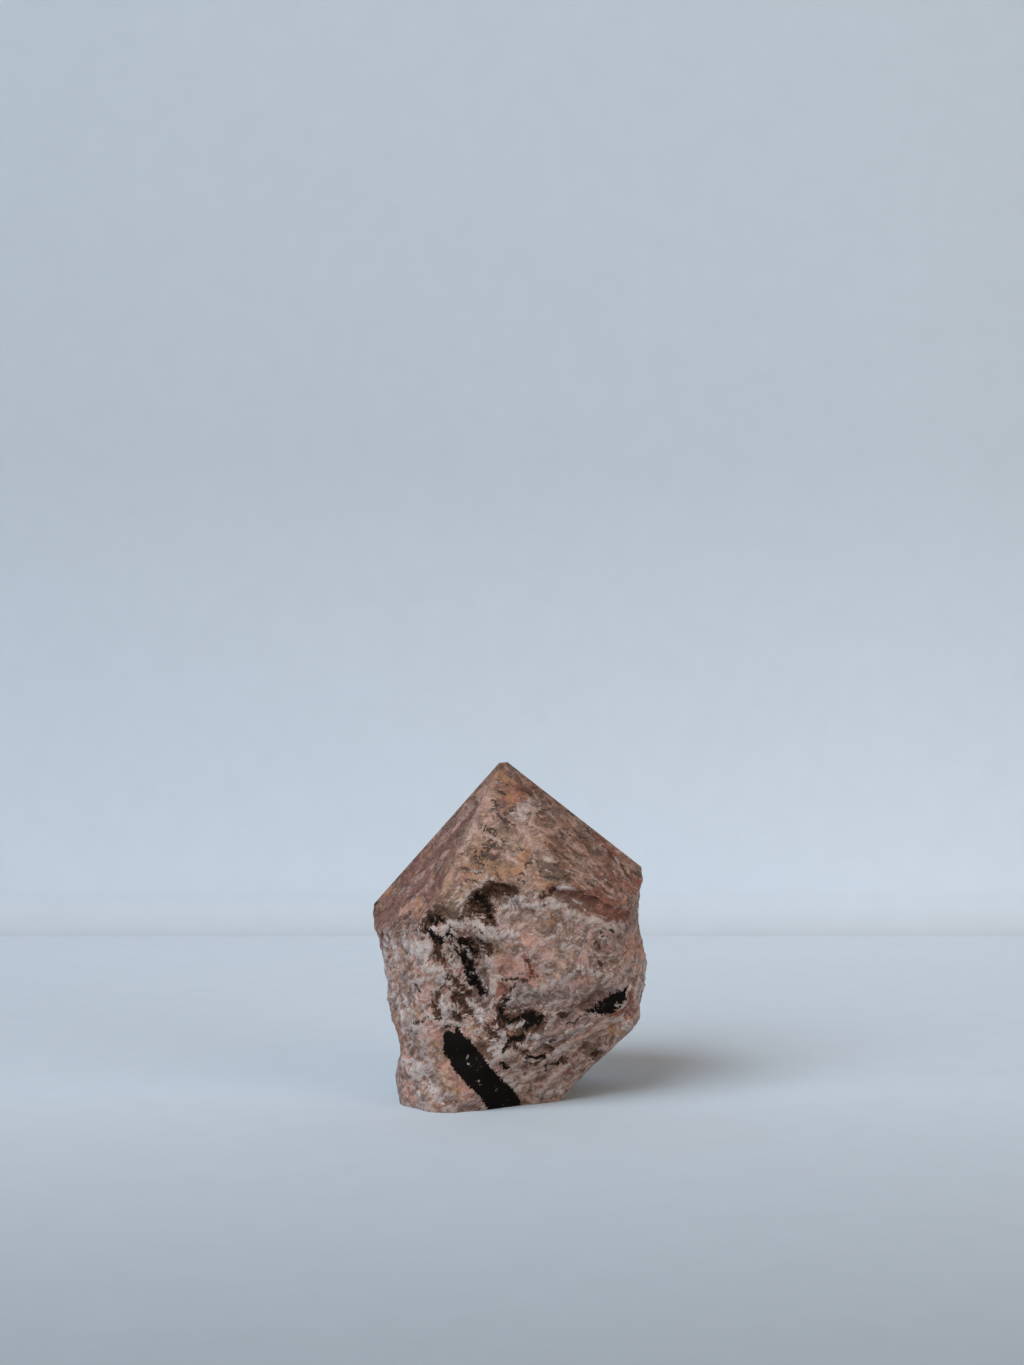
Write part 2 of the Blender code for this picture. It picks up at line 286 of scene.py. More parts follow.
PALE_PATCHES = (
    ((-18.6, 3.6, 1.6), (-16.6, 1.4, 1.6)),
    ((-22.4, 30.0, 0.8), (-21.6, 24.0, 1.0)),
    ((-21.0, 17.0, 0.8), (-20.6, 12.0, 1.0)),
    ((13.0, 23.6, 0.5), (16.0, 22.0, 0.7), (19.0, 22.6, 0.5)),
    ((9.6, 27.8, 0.4), (13.2, 27.0, 0.6)),
    ((16.8, 29.0, 0.5), (19.6, 27.6, 0.6)),
    ((7.4, 6.8, 0.7), (10.8, 9.0, 0.9)),
    ((3.2, 3.4, 0.6), (7.0, 4.8, 0.8)),
    ((-10.6, 31.4, 0.2), (-7.0, 31.8, 0.4), (-4.4, 30.4, 0.5)),
    ((-4.4, 30.4, 0.7), (-1.8, 29.6, 0.5), (1.2, 29.8, 0.3)),
    ((-18.8, 31.6, 1.2), (-16.4, 33.3, 1.6)),
    ((-20.2, 28.6, 1.6), (-17.4, 26.8, 3.0), (-15.4, 26.6, 1.6)),
    ((-14.8, 23.2, 2.2), (-12.8, 21.6, 1.8)),
    ((-13.2, 16.8, 0.9), (-12.0, 15.4, 1.5)),
    ((-7.4, 17.0, 1.4), (-5.6, 14.6, 1.9)),
    ((-13.8, 13.6, 0.8), (-11.2, 12.9, 0.9), (-9.0, 12.8, 0.9)),
    ((-20.2, 5.8, 2.2), (-17.6, 4.4, 3.0)),
    ((-15.6, 1.9, 1.2), (-13.9, -0.9, 1.5)),
    ((-20.3, 18.0, 1.2), (-18.4, 12.6, 1.6), (-19.4, 8.0, 1.2)),
    ((-3.2, 9.9, 1.2), (-1.6, 6.6, 1.5)),
    ((-1.9, 3.4, 1.0), (0.6, 1.0, 1.4)),
    ((2.8, 10.3, 0.8), (6.0, 11.4, 1.2)),
    ((5.0, 9.2, 0.8), (9.0, 10.4, 0.9), (14.2, 12.6, 0.9)),
    ((6.3, -0.4, 0.9), (9.1, 0.3, 0.9)),
    ((20.4, 14.0, 1.2), (22.4, 12.0, 1.4)),
    ((-11.8, 34.4, 0.9), (-8.8, 36.4, 1.2), (-6.3, 38.6, 1.2), (-4.1, 40.6, 0.7)),
    ((9.2, 39.0, 0.5), (10.6, 38.2, 0.9)),
    ((-1.8, 34.4, 1.0), (0.2, 35.4, 1.8), (2.0, 36.2, 2.0), (3.8, 36.8, 1.4)),
    ((3.6, 34.8, 0.8), (7.0, 35.8, 1.0), (10.0, 35.6, 0.6)),
    ((1.4, 52.2, 2.6), (3.8, 54.2, 3.0)),
)

MAUVE_PATCHES_AND_LEFT_SHADE = (
    ((-1.4, 59.8, 1.4), (-0.6, 57.6, 2.2)),
    # These two: a purplish stain on the left facet, made darker and wider as painted shade on that facet
    ((-21.0, 37.0, 3.0), (-17.0, 40.0, 5.0), (-11.0, 48.0, 4.0), (-6.0, 54.0, 2.0)),
    ((-22.0, 35.0, 4.0), (-14.0, 39.0, 6.0), (-11.0, 44.0, 4.0)),
    ((19.0, 41.0, 3.0), (17.0, 44.0, 3.0)),
    ((-3.0, 60.0, 1.0), (1.6, 57.6, 3.0)),
    ((-3.4, 57.4, 2.0), (-1.6, 54.4, 2.0), (-0.4, 51.6, 1.4)),
    ((-24.6, 32.0, 2.6), (-23.4, 26.0, 2.6)),
)

DIRTY_PATCHES = (
    ((-14.0, 31.0, 1.0), (-13.0, 25.0, 4.0), (-9.5, 17.0, 6.0), (-10.0, 14.0, 3.0)),
    ((-6.4, 28.8, 1.4), (-4.2, 26.0, 2.6)),
    ((-6.0, 17.0, 3.0), (-1.0, 14.0, 4.0), (4.0, 13.0, 4.0), (10.0, 14.6, 2.0)),
    ((-4.0, 9.0, 4.0), (2.0, 10.0, 5.0), (8.0, 9.0, 4.0), (13.0, 11.0, 2.0)),
    ((-2.0, 5.0, 2.0), (5.0, 5.6, 3.0), (11.0, 5.6, 2.0)),
    ((13.0, 21.0, 3.0), (17.0, 25.0, 4.0), (20.0, 30.0, 3.0)),
    ((15.0, 8.4, 2.4), (20.0, 13.0, 1.4)),
    ((-2.6, 50.2, 3.0), (-3.4, 46.0, 4.0), (-5.4, 43.6, 4.0)),
    ((-0.6, 58.6, 1.0), (-1.4, 54.8, 2.0)),
)

CRACKS = (
    ((-11.6, 31.6, 0.3), (-10.4, 30.6, 0.4), (-9.0, 30.2, 0.3)),
    ((-8.4, 31.6, 0.3), (-6.6, 31.0, 0.3), (-5.6, 30.2, 0.4)),
    ((-6.0, 33.2, 0.3), (-4.6, 31.8, 0.3), (-2.8, 31.2, 0.3)),
    ((-10.2, 32.6, 0.4), (-8.6, 33.0, 0.3)),
    ((20.4, 42.9, 0.5), (21.2, 42.1, 0.5), (22.4, 41.8, 0.35), (24.0, 41.5, 0.4)),
    ((20.4, 42.9, 0.5), (21.2, 41.2, 0.7), (22.1, 39.8, 0.5)),
    ((5.0, 51.2, 0.2), (5.2, 52.4, 0.3), (6.2, 53.2, 0.3), (7.1, 53.5, 0.25), (8.6, 52.7, 0.3)),
    ((10.0, 53.8, 0.3), (11.3, 52.4, 0.5)),
    ((14.2, 49.6, 0.6), (15.2, 48.0, 0.6)),
    ((8.8, 49.0, 0.4), (9.9, 47.6, 0.5)),
    ((9.6, 49.6, 0.3), (11.0, 48.6, 0.4)),
    ((11.6, 49.8, 0.4), (12.9, 48.0, 0.6)),
    ((10.2, 51.8, 0.3), (10.8, 50.4, 0.3)),
    ((7.0, 46.6, 0.4), (8.0, 45.4, 0.4)),
    ((17.2, 46.2, 0.5), (18.6, 45.2, 0.7), (19.6, 43.6, 0.6)),
    ((16.0, 42.6, 0.4), (17.2, 41.0, 0.5)),
    ((17.0, 40.6, 0.4), (18.6, 39.0, 0.5)),
    ((13.4, 40.6, 0.3), (14.9, 39.0, 0.6)),
    ((2.0, 56.4, 0.3), (3.6, 56.0, 0.35), (4.6, 57.6, 0.3)),
    ((3.4, 55.6, 0.3), (4.8, 56.2, 0.3)),
    ((-2.0, 56.4, 0.6), (-1.3, 56.0, 0.6)),
    ((-1.1, 57.6, 0.4), (-0.8, 57.2, 0.4)),
    ((-3.6, 55.2, 0.4), (-2.6, 54.2, 0.6), (-3.8, 53.2, 0.4)),
    ((-3.2, 54.6, 0.5), (-2.0, 53.8, 0.3)),
    ((-0.2, 52.8, 0.4), (-1.6, 51.6, 0.4), (-2.6, 50.0, 0.4), (-3.6, 48.2, 0.4)),
    ((-2.6, 51.8, 0.4), (-1.2, 50.8, 0.6), (0.2, 50.2, 0.4)),
    ((-1.4, 51.4, 0.4), (-1.0, 50.4, 0.5)),
    ((-5.6, 49.6, 0.3), (-4.6, 49.2, 0.4), (-3.8, 49.6, 0.4), (-3.0, 49.2, 0.4)),
    ((-4.8, 50.2, 0.3), (-4.2, 48.6, 0.3)),
    ((-3.5, 48.0, 0.5), (-2.6, 48.7, 0.5)),
    ((-3.9, 46.2, 0.8), (-3.2, 46.6, 0.6)),
    ((-5.4, 46.2, 0.4), (-4.2, 46.0, 0.4)),
    ((-6.8, 45.4, 0.4), (-6.4, 43.6, 0.5), (-5.2, 43.0, 0.4)),
    ((-6.6, 44.2, 0.4), (-5.2, 44.6, 0.4), (-4.6, 45.4, 0.4)),
    ((-5.8, 45.6, 0.3), (-5.6, 43.4, 0.3)),
    ((-4.6, 43.6, 0.3), (-3.4, 44.2, 0.5)),
    ((-3.6, 42.6, 0.3), (-2.6, 41.2, 0.4)),
    ((-9.8, 45.0, 0.3), (-8.4, 44.4, 0.35)),
    ((-9.2, 42.4, 0.5), (-8.0, 41.6, 0.6), (-6.0, 41.2, 0.5)),
    ((2.2, 42.6, 0.5), (3.4, 42.9, 0.4)),
    ((1.2, 41.6, 0.4), (1.8, 41.2, 0.4)),
    ((0.9, 46.4, 0.3), (1.6, 45.8, 0.3)),
    ((4.2, 43.3, 0.5), (4.8, 42.6, 0.3), (5.4, 41.6, 0.3)),
    ((-20.4, 42.6, 0.4), (-19.4, 43.6, 0.3)),
    ((-16.6, 45.4, 0.4), (-16.1, 46.4, 0.4)),
    ((-18.6, 43.4, 0.4), (-18.2, 44.2, 0.4)),
    ((-15.0, 46.2, 0.4), (-14.4, 47.2, 0.4)),
    ((-13.4, 50.0, 0.3), (-12.6, 51.2, 0.3)),
    ((-17.8, 40.6, 0.3), (-17.0, 41.8, 0.3)),
    ((-0.5, 17.7, 0.6), (-1.6, 16.6, 0.6), (-2.4, 14.8, 0.7), (-3.4, 13.2, 0.6)),
    ((0.6, 20.2, 0.5), (-1.4, 18.4, 0.6), (-3.0, 16.0, 0.5)),
    ((-1.8, 21.4, 0.5), (2.2, 21.2, 0.5), (4.6, 22.0, 0.4)),
    ((2.8, 24.6, 0.5), (3.8, 23.0, 0.6), (4.2, 21.8, 0.4)),
    ((-4.8, 19.4, 0.4), (-3.8, 17.6, 0.5)),
    ((2.6, 5.9, 0.4), (4.8, 5.6, 0.4), (6.3, 6.6, 0.4)),
    ((5.8, 5.2, 0.6), (6.4, 4.2, 0.5)),
    ((6.9, 9.6, 0.4), (8.2, 10.4, 0.4)),
    ((8.6, 14.8, 0.4), (9.6, 14.2, 0.7), (10.4, 14.8, 0.4)),
    ((10.6, 13.2, 0.3), (14.8, 15.0, 0.4)),
    ((12.0, 16.2, 0.3), (14.6, 17.8, 0.3)),
    ((16.4, 24.9, 0.4), (16.8, 24.2, 0.5)),
    ((16.6, 30.0, 0.35), (17.0, 29.2, 0.5)),
    ((15.8, 28.2, 0.3), (16.4, 27.6, 0.4)),
    ((18.8, 30.6, 0.3), (19.6, 29.2, 0.3)),
    ((12.2, 26.8, 0.3), (12.8, 26.2, 0.3)),
    ((15.0, 22.8, 0.3), (15.6, 22.2, 0.3)),
    ((10.2, 22.8, 0.25), (11.0, 22.4, 0.25)),
    ((21.6, 36.4, 0.4), (21.9, 34.8, 0.4)),
    ((-11.8, 27.2, 0.4), (-11.0, 25.8, 0.4)),
    ((-13.2, 29.4, 0.4), (-11.8, 28.2, 0.4)),
    ((-18.0, 20.6, 0.3), (-17.2, 19.4, 0.4)),
    ((-18.6, 13.2, 0.3), (-17.0, 13.6, 0.3), (-15.8, 14.4, 0.3)),
    ((-4.6, 52.6, 0.3), (-3.4, 51.4, 0.3), (-2.6, 52.4, 0.3)),
    ((-4.4, 47.0, 0.3), (-2.2, 47.6, 0.3), (-0.6, 46.8, 0.3)),
    ((-8.6, 40.2, 0.4), (-6.4, 39.6, 0.3)),
    ((6.6, 40.6, 0.3), (8.8, 40.2, 0.4), (11.2, 41.2, 0.3)),
    ((4.4, 43.8, 0.3), (6.8, 43.4, 0.3), (9.6, 41.4, 0.3)),
    ((1.2, 40.4, 0.3), (2.6, 39.4, 0.4)),
    ((-14.6, 42.6, 0.3), (-13.0, 45.4, 0.3)),
    ((-19.6, 36.4, 0.3), (-17.6, 38.2, 0.3)),
    ((-11.2, 52.8, 0.3), (-10.0, 54.4, 0.3)),
)

# Pale veins, and pale dots that are painted glints
VEINS_AND_GLINTS = (
    ((-8.2, 49.3, 0.25), (-5.5, 48.3, 0.35), (-4.0, 47.8, 0.45), (-3.0, 47.3, 0.4), (-1.5, 46.9, 0.35)),
    ((-1.5, 46.9, 0.35), (1.3, 46.3, 0.25)),
    ((-3.6, 47.8, 0.3), (-2.6, 46.9, 0.3), (-2.2, 46.4, 0.2)),
    ((-8.0, 50.4, 0.25), (-6.4, 52.4, 0.3), (-6.0, 54.0, 0.3), (-6.4, 56.0, 0.25)),
    ((-9.2, 45.8, 0.3), (-8.0, 47.8, 0.35), (-7.6, 49.6, 0.3)),
    ((-8.8, 41.8, 0.3), (-6.6, 41.4, 0.3), (-4.4, 41.6, 0.25)),
    ((-15.4, 40.2, 0.3), (-13.6, 42.6, 0.4), (-12.6, 44.6, 0.3)),
    ((-21.6, 37.0, 0.35), (-20.6, 37.8, 0.4), (-19.9, 38.6, 0.4)),
    ((-12.4, 35.4, 0.3), (-10.4, 37.8, 0.3), (-9.4, 40.0, 0.25)),
    ((-9.4, 36.2, 0.4), (-7.2, 38.4, 0.6), (-4.4, 40.8, 0.5)),
    ((-10.6, 35.2, 0.3), (-8.6, 36.6, 0.5)),
    ((-2.2, 59.4, 0.25), (-2.8, 58.2, 0.25)),
    ((-1.8, 44.8, 0.2), (1.8, 42.8, 0.25), (2.4, 40.8, 0.2)),
    ((3.9, 46.2, 0.3), (4.1, 44.4, 0.3), (3.9, 43.4, 0.3)),
    ((4.3, 43.3, 0.25), (7.6, 41.0, 0.25)),
    # This and the next two: pale dots on the facets, painted glints
    ((6.2, 44.2, 0.7), (6.9, 43.9, 0.7)),
    ((9.9, 41.7, 0.6), (11.0, 41.6, 0.6)),
    ((19.6, 44.6, 0.4), (19.6, 43.8, 0.6), (20.1, 43.0, 0.3)),
    ((10.4, 43.6, 0.3), (12.2, 41.8, 0.3), (14.0, 39.4, 0.3)),
    ((12.4, 43.6, 0.3), (14.2, 41.8, 0.3), (15.8, 40.2, 0.25)),
    ((13.8, 43.4, 0.3), (16.4, 41.4, 0.3), (18.4, 38.6, 0.3)),
    ((11.6, 40.4, 0.3), (13.4, 38.4, 0.3)),
    ((14.6, 45.6, 0.3), (16.6, 46.4, 0.3)),
    ((17.0, 38.0, 0.25), (20.0, 36.0, 0.25)),
    ((2.2, 52.4, 0.25), (3.4, 54.4, 0.25)),
    ((5.6, 51.8, 0.25), (7.0, 52.8, 0.25), (8.2, 51.6, 0.25)),
    ((-15.2, 30.8, 0.3), (-13.6, 31.4, 0.3), (-12.4, 31.0, 0.2), (-11.2, 32.0, 0.3), (-9.2, 31.0, 0.3)),
    ((-12.6, 30.2, 0.2), (-10.8, 31.0, 0.3), (-8.8, 32.4, 0.3), (-6.8, 32.8, 0.3)),
    ((-9.8, 31.6, 0.2), (-7.6, 30.6, 0.3), (-5.4, 31.6, 0.3), (-3.2, 30.2, 0.3)),
    ((-7.4, 33.6, 0.2), (-6.0, 31.8, 0.3), (-4.6, 30.0, 0.3), (-2.6, 29.0, 0.3)),
    ((-3.2, 30.2, 0.5), (-1.2, 30.4, 0.4), (0.8, 30.2, 0.35)),
    ((-1.4, 29.4, 0.3), (-0.4, 28.4, 0.3), (0.8, 28.0, 0.25)),
    ((4.4, 31.0, 0.25), (3.0, 29.0, 0.3), (1.4, 27.2, 0.25)),
    ((0.2, 31.4, 0.3), (2.2, 31.8, 0.35), (4.6, 32.6, 0.3)),
    ((4.8, 33.4, 0.4), (6.6, 34.6, 0.4), (9.2, 35.4, 0.35)),
    ((3.2, 34.4, 0.3), (6.0, 36.4, 0.3), (9.4, 36.2, 0.3)),
    ((11.4, 36.0, 0.25), (14.6, 33.6, 0.25), (18.2, 30.6, 0.25), (19.4, 27.6, 0.2)),
    ((8.6, 31.4, 0.2), (12.4, 30.6, 0.25), (14.6, 28.6, 0.2)),
    ((7.4, 29.8, 0.2), (10.4, 29.2, 0.25), (13.6, 28.8, 0.2)),
    ((18.6, 32.2, 0.2), (21.2, 29.6, 0.25), (22.4, 26.4, 0.25)),
    ((14.8, 26.8, 0.2), (18.4, 25.6, 0.25), (21.0, 25.9, 0.2)),
    ((-20.6, 19.6, 0.3), (-18.4, 21.2, 0.35), (-15.6, 21.6, 0.3)),
    ((-22.4, 18.8, 0.4), (-21.8, 17.2, 0.5), (-21.2, 15.6, 0.4), (-20.4, 14.0, 0.4)),
    ((-20.2, 16.8, 0.3), (-18.6, 17.6, 0.4), (-17.0, 16.6, 0.4), (-15.4, 14.2, 0.3)),
    ((-20.8, 12.2, 0.3), (-18.6, 12.6, 0.35), (-16.4, 12.0, 0.35), (-14.4, 12.8, 0.3)),
    ((-17.6, 27.6, 0.5), (-16.2, 28.4, 0.5), (-15.6, 27.2, 0.4)),
    ((-18.8, 26.4, 0.4), (-17.2, 25.2, 0.5), (-15.6, 26.0, 0.4)),
    ((-22.0, 28.8, 0.3), (-20.2, 29.8, 0.4), (-19.8, 31.2, 0.3)),
    ((-22.6, 25.8, 0.3), (-21.2, 24.2, 0.3), (-20.4, 22.8, 0.3)),
    ((-19.4, 32.8, 0.3), (-17.6, 34.6, 0.35), (-15.8, 36.6, 0.3)),
    ((-14.8, 22.8, 0.5), (-13.4, 23.2, 0.5), (-12.6, 22.2, 0.5)),
    ((-13.6, 17.6, 0.4), (-12.4, 16.4, 0.5), (-12.6, 15.0, 0.5), (-11.4, 14.6, 0.4)),
    ((-13.2, 13.2, 0.5), (-11.6, 13.6, 0.5), (-9.8, 13.2, 0.5), (-8.4, 13.6, 0.4)),
    ((-8.2, 17.4, 0.4), (-6.8, 16.0, 0.5), (-6.2, 14.4, 0.5), (-5.2, 13.0, 0.4)),
    ((-10.9, 28.9, 0.3), (-9.6, 26.4, 0.4)),
    ((-8.6, 26.8, 0.3), (-7.0, 25.6, 0.4)),
    ((-8.2, 25.9, 0.3), (-6.8, 25.0, 0.3)),
    ((-8.0, 22.4, 0.4), (-6.2, 22.0, 0.4), (-4.6, 19.2, 0.4)),
    ((-5.6, 24.8, 0.3), (-4.4, 23.0, 0.4), (-3.8, 21.0, 0.3)),
    ((-18.6, 6.2, 0.5), (-17.0, 5.0, 0.6), (-15.2, 4.6, 0.5)),
    ((-19.6, 4.4, 0.4), (-17.6, 3.2, 0.5), (-15.8, 3.6, 0.5), (-15.0, 1.8, 0.5)),
    ((-17.4, 7.4, 0.4), (-15.8, 6.4, 0.5), (-14.6, 4.4, 0.4)),
    ((-14.4, 1.6, 0.5), (-13.6, 0.2, 0.5), (-13.8, -1.4, 0.4)),
    ((-13.6, 3.4, 0.3), (-12.0, 1.4, 0.3), (-10.6, 1.6, 0.3)),
    ((-18.2, -0.8, 0.3), (-16.8, -2.2, 0.4), (-15.2, -2.0, 0.3)),
    ((-4.4, 8.2, 0.4), (-2.4, 9.6, 0.5), (-1.4, 11.4, 0.5)),
    ((-3.6, 6.8, 0.4), (-1.8, 8.6, 0.5), (-1.0, 10.6, 0.4)),
    ((-3.2, 5.8, 0.3), (-1.4, 7.0, 0.4), (1.2, 7.8, 0.4), (2.6, 9.4, 0.3)),
    ((-0.4, 12.2, 0.5), (1.0, 12.8, 0.7), (2.4, 13.4, 0.6)),
    ((3.2, 10.0, 0.4), (4.8, 10.8, 0.5), (6.4, 11.4, 0.4)),
    ((2.0, 8.8, 0.3), (4.2, 9.6, 0.4), (7.2, 9.2, 0.3)),
    ((-1.6, 3.6, 0.4), (0.8, 4.4, 0.4), (3.4, 4.2, 0.3)),
    ((-1.4, 2.6, 0.4), (1.4, 3.0, 0.4), (4.6, 2.2, 0.3)),
    ((-0.4, 1.2, 0.4), (2.4, 1.6, 0.4), (5.4, 0.2, 0.3)),
    ((2.6, 6.2, 0.3), (4.4, 6.4, 0.4), (6.0, 6.0, 0.3)),
    ((8.4, 8.0, 0.3), (11.2, 10.4, 0.35), (14.6, 12.4, 0.3)),
    ((7.4, 6.0, 0.3), (10.6, 8.4, 0.35), (13.4, 10.0, 0.3)),
    ((6.8, 2.6, 0.3), (9.4, 4.6, 0.35), (12.2, 6.2, 0.3)),
    ((5.8, -0.6, 0.4), (7.8, 0.4, 0.4), (9.4, 0.2, 0.4)),
    ((4.4, 16.8, 0.3), (6.6, 16.4, 0.4), (8.2, 17.2, 0.3)),
    ((1.6, 17.6, 0.3), (2.8, 18.8, 0.4), (4.4, 18.4, 0.3)),
    ((10.6, 19.8, 0.25), (12.6, 18.6, 0.3), (15.2, 18.8, 0.25)),
    ((19.0, 13.6, 0.4), (20.6, 13.8, 0.5), (22.6, 13.4, 0.5)),
    # A pale dot in the black patch at the right: a painted glint
    ((19.2, 16.7, 0.7), (19.5, 16.4, 0.6)),
    # Pale dots on the black bar, to the table's end: painted glints
    ((-9.7, 7.3, 0.1), (-9.5, 7.3, 0.1)),
    ((-8.4, 6.7, 0.1), (-8.2, 7.0, 0.1), (-7.9, 6.6, 0.1)),
    ((-6.7, 6.5, 0.1), (-6.6, 6.5, 0.1)),
    ((-8.1, 5.3, 0.1), (-7.8, 4.8, 0.1)),
    ((-6.6, 4.5, 0.2), (-6.5, 4.4, 0.2)),
    ((-6.2, 2.2, 0.1), (-6.0, 1.2, 0.1)),
    ((-2.9, 0.5, 0.1), (-2.8, 0.4, 0.1)),
)

# Places where the hollows under the facets are filled a little, so that their upper edges are ragged
LIPS = (
    ((-6.0, 39.2, 2.0), (-3.0, 39.8, 1.6)),
    ((0.8, 38.4, 3.4), (2.8, 37.0, 3.4)),
    ((-1.6, 37.8, 2.0), (1.6, 37.4, 3.0)),
)

LAYERED_PLACES = (
    ((2.0, 4.0, 9.0), (10.0, 8.0, 9.0), (19.0, 13.0, 5.0)),
    ((-2.0, 3.0, 5.0), (6.0, 12.0, 5.0)),
)

CHUNKY_PLACES = (
    ((-13.0, 31.0, 5.0), (-8.0, 22.0, 9.0), (-8.0, 15.0, 8.0), (0.0, 14.0, 6.0)),
    ((-18.0, 25.0, 6.0), (-18.0, 2.0, 6.0)),
)

# The sides that the photo doesn't show have the same crystals and stains, placed freely
RIGHT_SIDE = {
    "black": (
        ((6.0, 33.0, 1.4), (10.0, 24.0, 2.8), (12.0, 15.0, 1.4)),
    ),
    "smoky": (
        ((-4.0, 29.0, 2.0), (-1.0, 26.0, 1.4)),
        ((2.0, 12.0, 1.6), (5.0, 9.0, 2.2)),
    ),
    "red": (
        ((-8.0, 38.0, 1.6), (0.0, 35.0, 2.2), (8.0, 36.0, 1.0)),
    ),
    "rust": (
        ((12.0, 40.0, 2.4), (15.0, 36.0, 1.6)),
        ((-10.0, 10.0, 1.6), (-7.0, 8.0, 1.0)),
    ),
    "pale": (
        ((-2.0, 32.0, 1.6), (4.0, 30.0, 2.2), (10.0, 31.0, 1.0)),
        ((0.0, 18.0, 1.2), (5.0, 15.0, 1.8)),
    ),
    "pink": (
        ((-12.0, 27.0, 3.0), (-6.0, 24.0, 3.4)),
    ),
    "dirty": (
        ((2.0, 12.0, 6.0), (8.0, 20.0, 6.0)),
    ),
    "chunky": (
        ((-10.0, 20.0, 8.0), (5.0, 15.0, 8.0)),
    ),
    "layered": (
        ((8.0, 30.0, 8.0), (12.0, 15.0, 8.0)),
    ),
}

BACK_SIDE = {
    "bar": (
        ((9.4, 33.0, 1.8), (5.4, 26.0, 3.4), (0.6, 17.6, 3.6), (-1.4, 13.4, 2.0)),
    ),
    "black": (
        ((-14.0, 22.0, 1.2), (-11.0, 19.0, 2.0), (-9.0, 15.0, 0.8)),
        ((12.0, 12.0, 1.0), (14.0, 9.0, 1.6)),
        ((-5.0, 6.0, 0.8), (-2.0, 4.0, 1.4)),
    ),
    "smoky": (
        ((-8.0, 33.0, 2.0), (-4.0, 31.0, 1.6)),
        ((6.0, 14.0, 2.2), (9.0, 12.0, 1.4)),
        ((-17.0, 30.0, 1.6), (-15.0, 27.0, 1.0)),
        ((-4.0, 52.0, 0.6), (-2.0, 50.4, 0.7)),
        ((6.0, 46.0, 0.8), (7.0, 44.4, 0.6)),
    ),
    "red": (
        ((-12.0, 40.0, 1.4), (-6.0, 42.0, 1.8)),
        ((14.0, 38.0, 1.6), (10.0, 35.0, 2.0)),
    ),
    "rust": (
        ((2.0, 45.0, 3.0), (6.0, 41.0, 2.4)),
        ((-10.0, 10.0, 2.0), (-7.0, 8.0, 1.4)),
        ((-2.0, 52.0, 2.0), (0.0, 48.0, 1.4)),
    ),
    "pale": (
        ((-14.0, 34.0, 1.4), (-8.0, 29.0, 2.2), (-2.0, 28.0, 1.6)),
        ((8.0, 8.0, 2.0), (13.0, 5.0, 1.6)),
        ((16.0, 26.0, 1.4), (14.0, 20.0, 2.0)),
        ((-8.0, 50.0, 0.35), (-2.0, 47.0, 0.4), (5.0, 48.0, 0.3)),
    ),
    "pink": (
        ((-12.0, 26.0, 3.4), (-8.0, 24.0, 2.4)),
        ((10.0, 22.0, 3.0), (13.0, 18.0, 3.0)),
        ((-4.0, 12.0, 2.4), (1.0, 10.0, 2.0)),
    ),
    "dirty": (
        ((-8.0, 20.0, 5.0), (-2.0, 14.0, 6.0)),
        ((10.0, 30.0, 4.0), (15.0, 24.0, 3.0)),
    ),
    "mauve": (
        ((6.0, 50.0, 4.0), (12.0, 42.0, 4.0)),
    ),
    "chunky": (
        ((-12.0, 18.0, 9.0), (0.0, 25.0, 9.0)),
    ),
    "layered": (
        ((10.0, 15.0, 9.0), (14.0, 25.0, 8.0)),
    ),
}

LEFT_SIDE = {
    "black": (
        ((-8.0, 30.0, 0.8), (-5.0, 24.0, 2.2), (-3.0, 18.0, 1.0)),
        ((-1.0, 12.0, 1.0), (0.0, 8.0, 1.6), (1.0, 5.0, 0.6)),
        ((-13.0, 12.0, 1.6), (-10.0, 9.0, 0.8)),
    ),
    "smoky": (
        ((-4.0, 33.0, 1.6), (-1.0, 31.0, 1.0)),
        ((-12.0, 24.0, 1.8), (-10.0, 20.0, 1.2)),
    ),
    "rust": (
        ((10.0, 36.0, 2.0), (13.0, 33.0, 1.4)),
        ((-4.0, 10.0, 2.4), (0.0, 8.0, 1.6)),
    ),
    "pale": (
        ((8.0, 28.0, 2.0), (6.0, 22.0, 2.4), (9.0, 16.0, 1.0)),
        ((-8.0, 16.0, 1.4), (-4.0, 13.0, 2.0)),
        ((2.0, 4.0, 2.0), (7.0, 2.0, 2.0)),
    ),
    "pink": (
        ((-2.0, 27.0, 3.0), (2.0, 24.0, 3.0)),
        ((10.0, 8.0, 2.6), (12.0, 4.0, 2.0)),
    ),
    "red": (
        ((-10.0, 36.0, 1.6), (-6.0, 34.0, 1.0)),
    ),
    "mauve": (
        ((0.0, 40.0, 6.0), (-6.0, 46.0, 5.0)),
        ((8.0, 44.0, 4.0), (4.0, 50.0, 3.0)),
    ),
    "dirty": (
        ((-10.0, 22.0, 5.0), (-6.0, 14.0, 6.0)),
    ),
    "chunky": (
        ((-8.0, 10.0, 9.0), (8.0, 20.0, 9.0)),
    ),
}

SAWN_FOOT = {
    "bar": (
        ((-0.9, -10.8, 4.6), (0.6, -7.0, 4.6), (1.8, -3.6, 2.6)),
    ),
    "black": (
        ((-9.0, 6.0, 1.0), (-6.0, 8.0, 2.0), (-4.0, 8.6, 0.8)),
    ),
    "smoky": (
        ((6.0, 4.0, 1.6), (8.0, 1.0, 1.2)),
    ),
    "pale": (
        ((-12.0, -6.0, 1.6), (-6.0, -2.0, 2.4), (-2.0, 3.0, 1.2)),
    ),
    "pink": (
        ((-10.0, -12.0, 3.0), (-7.0, -9.0, 2.4)),
    ),
    "dirty": (
        ((-4.0, 4.0, 5.0), (4.0, 6.0, 5.0)),
    ),
}

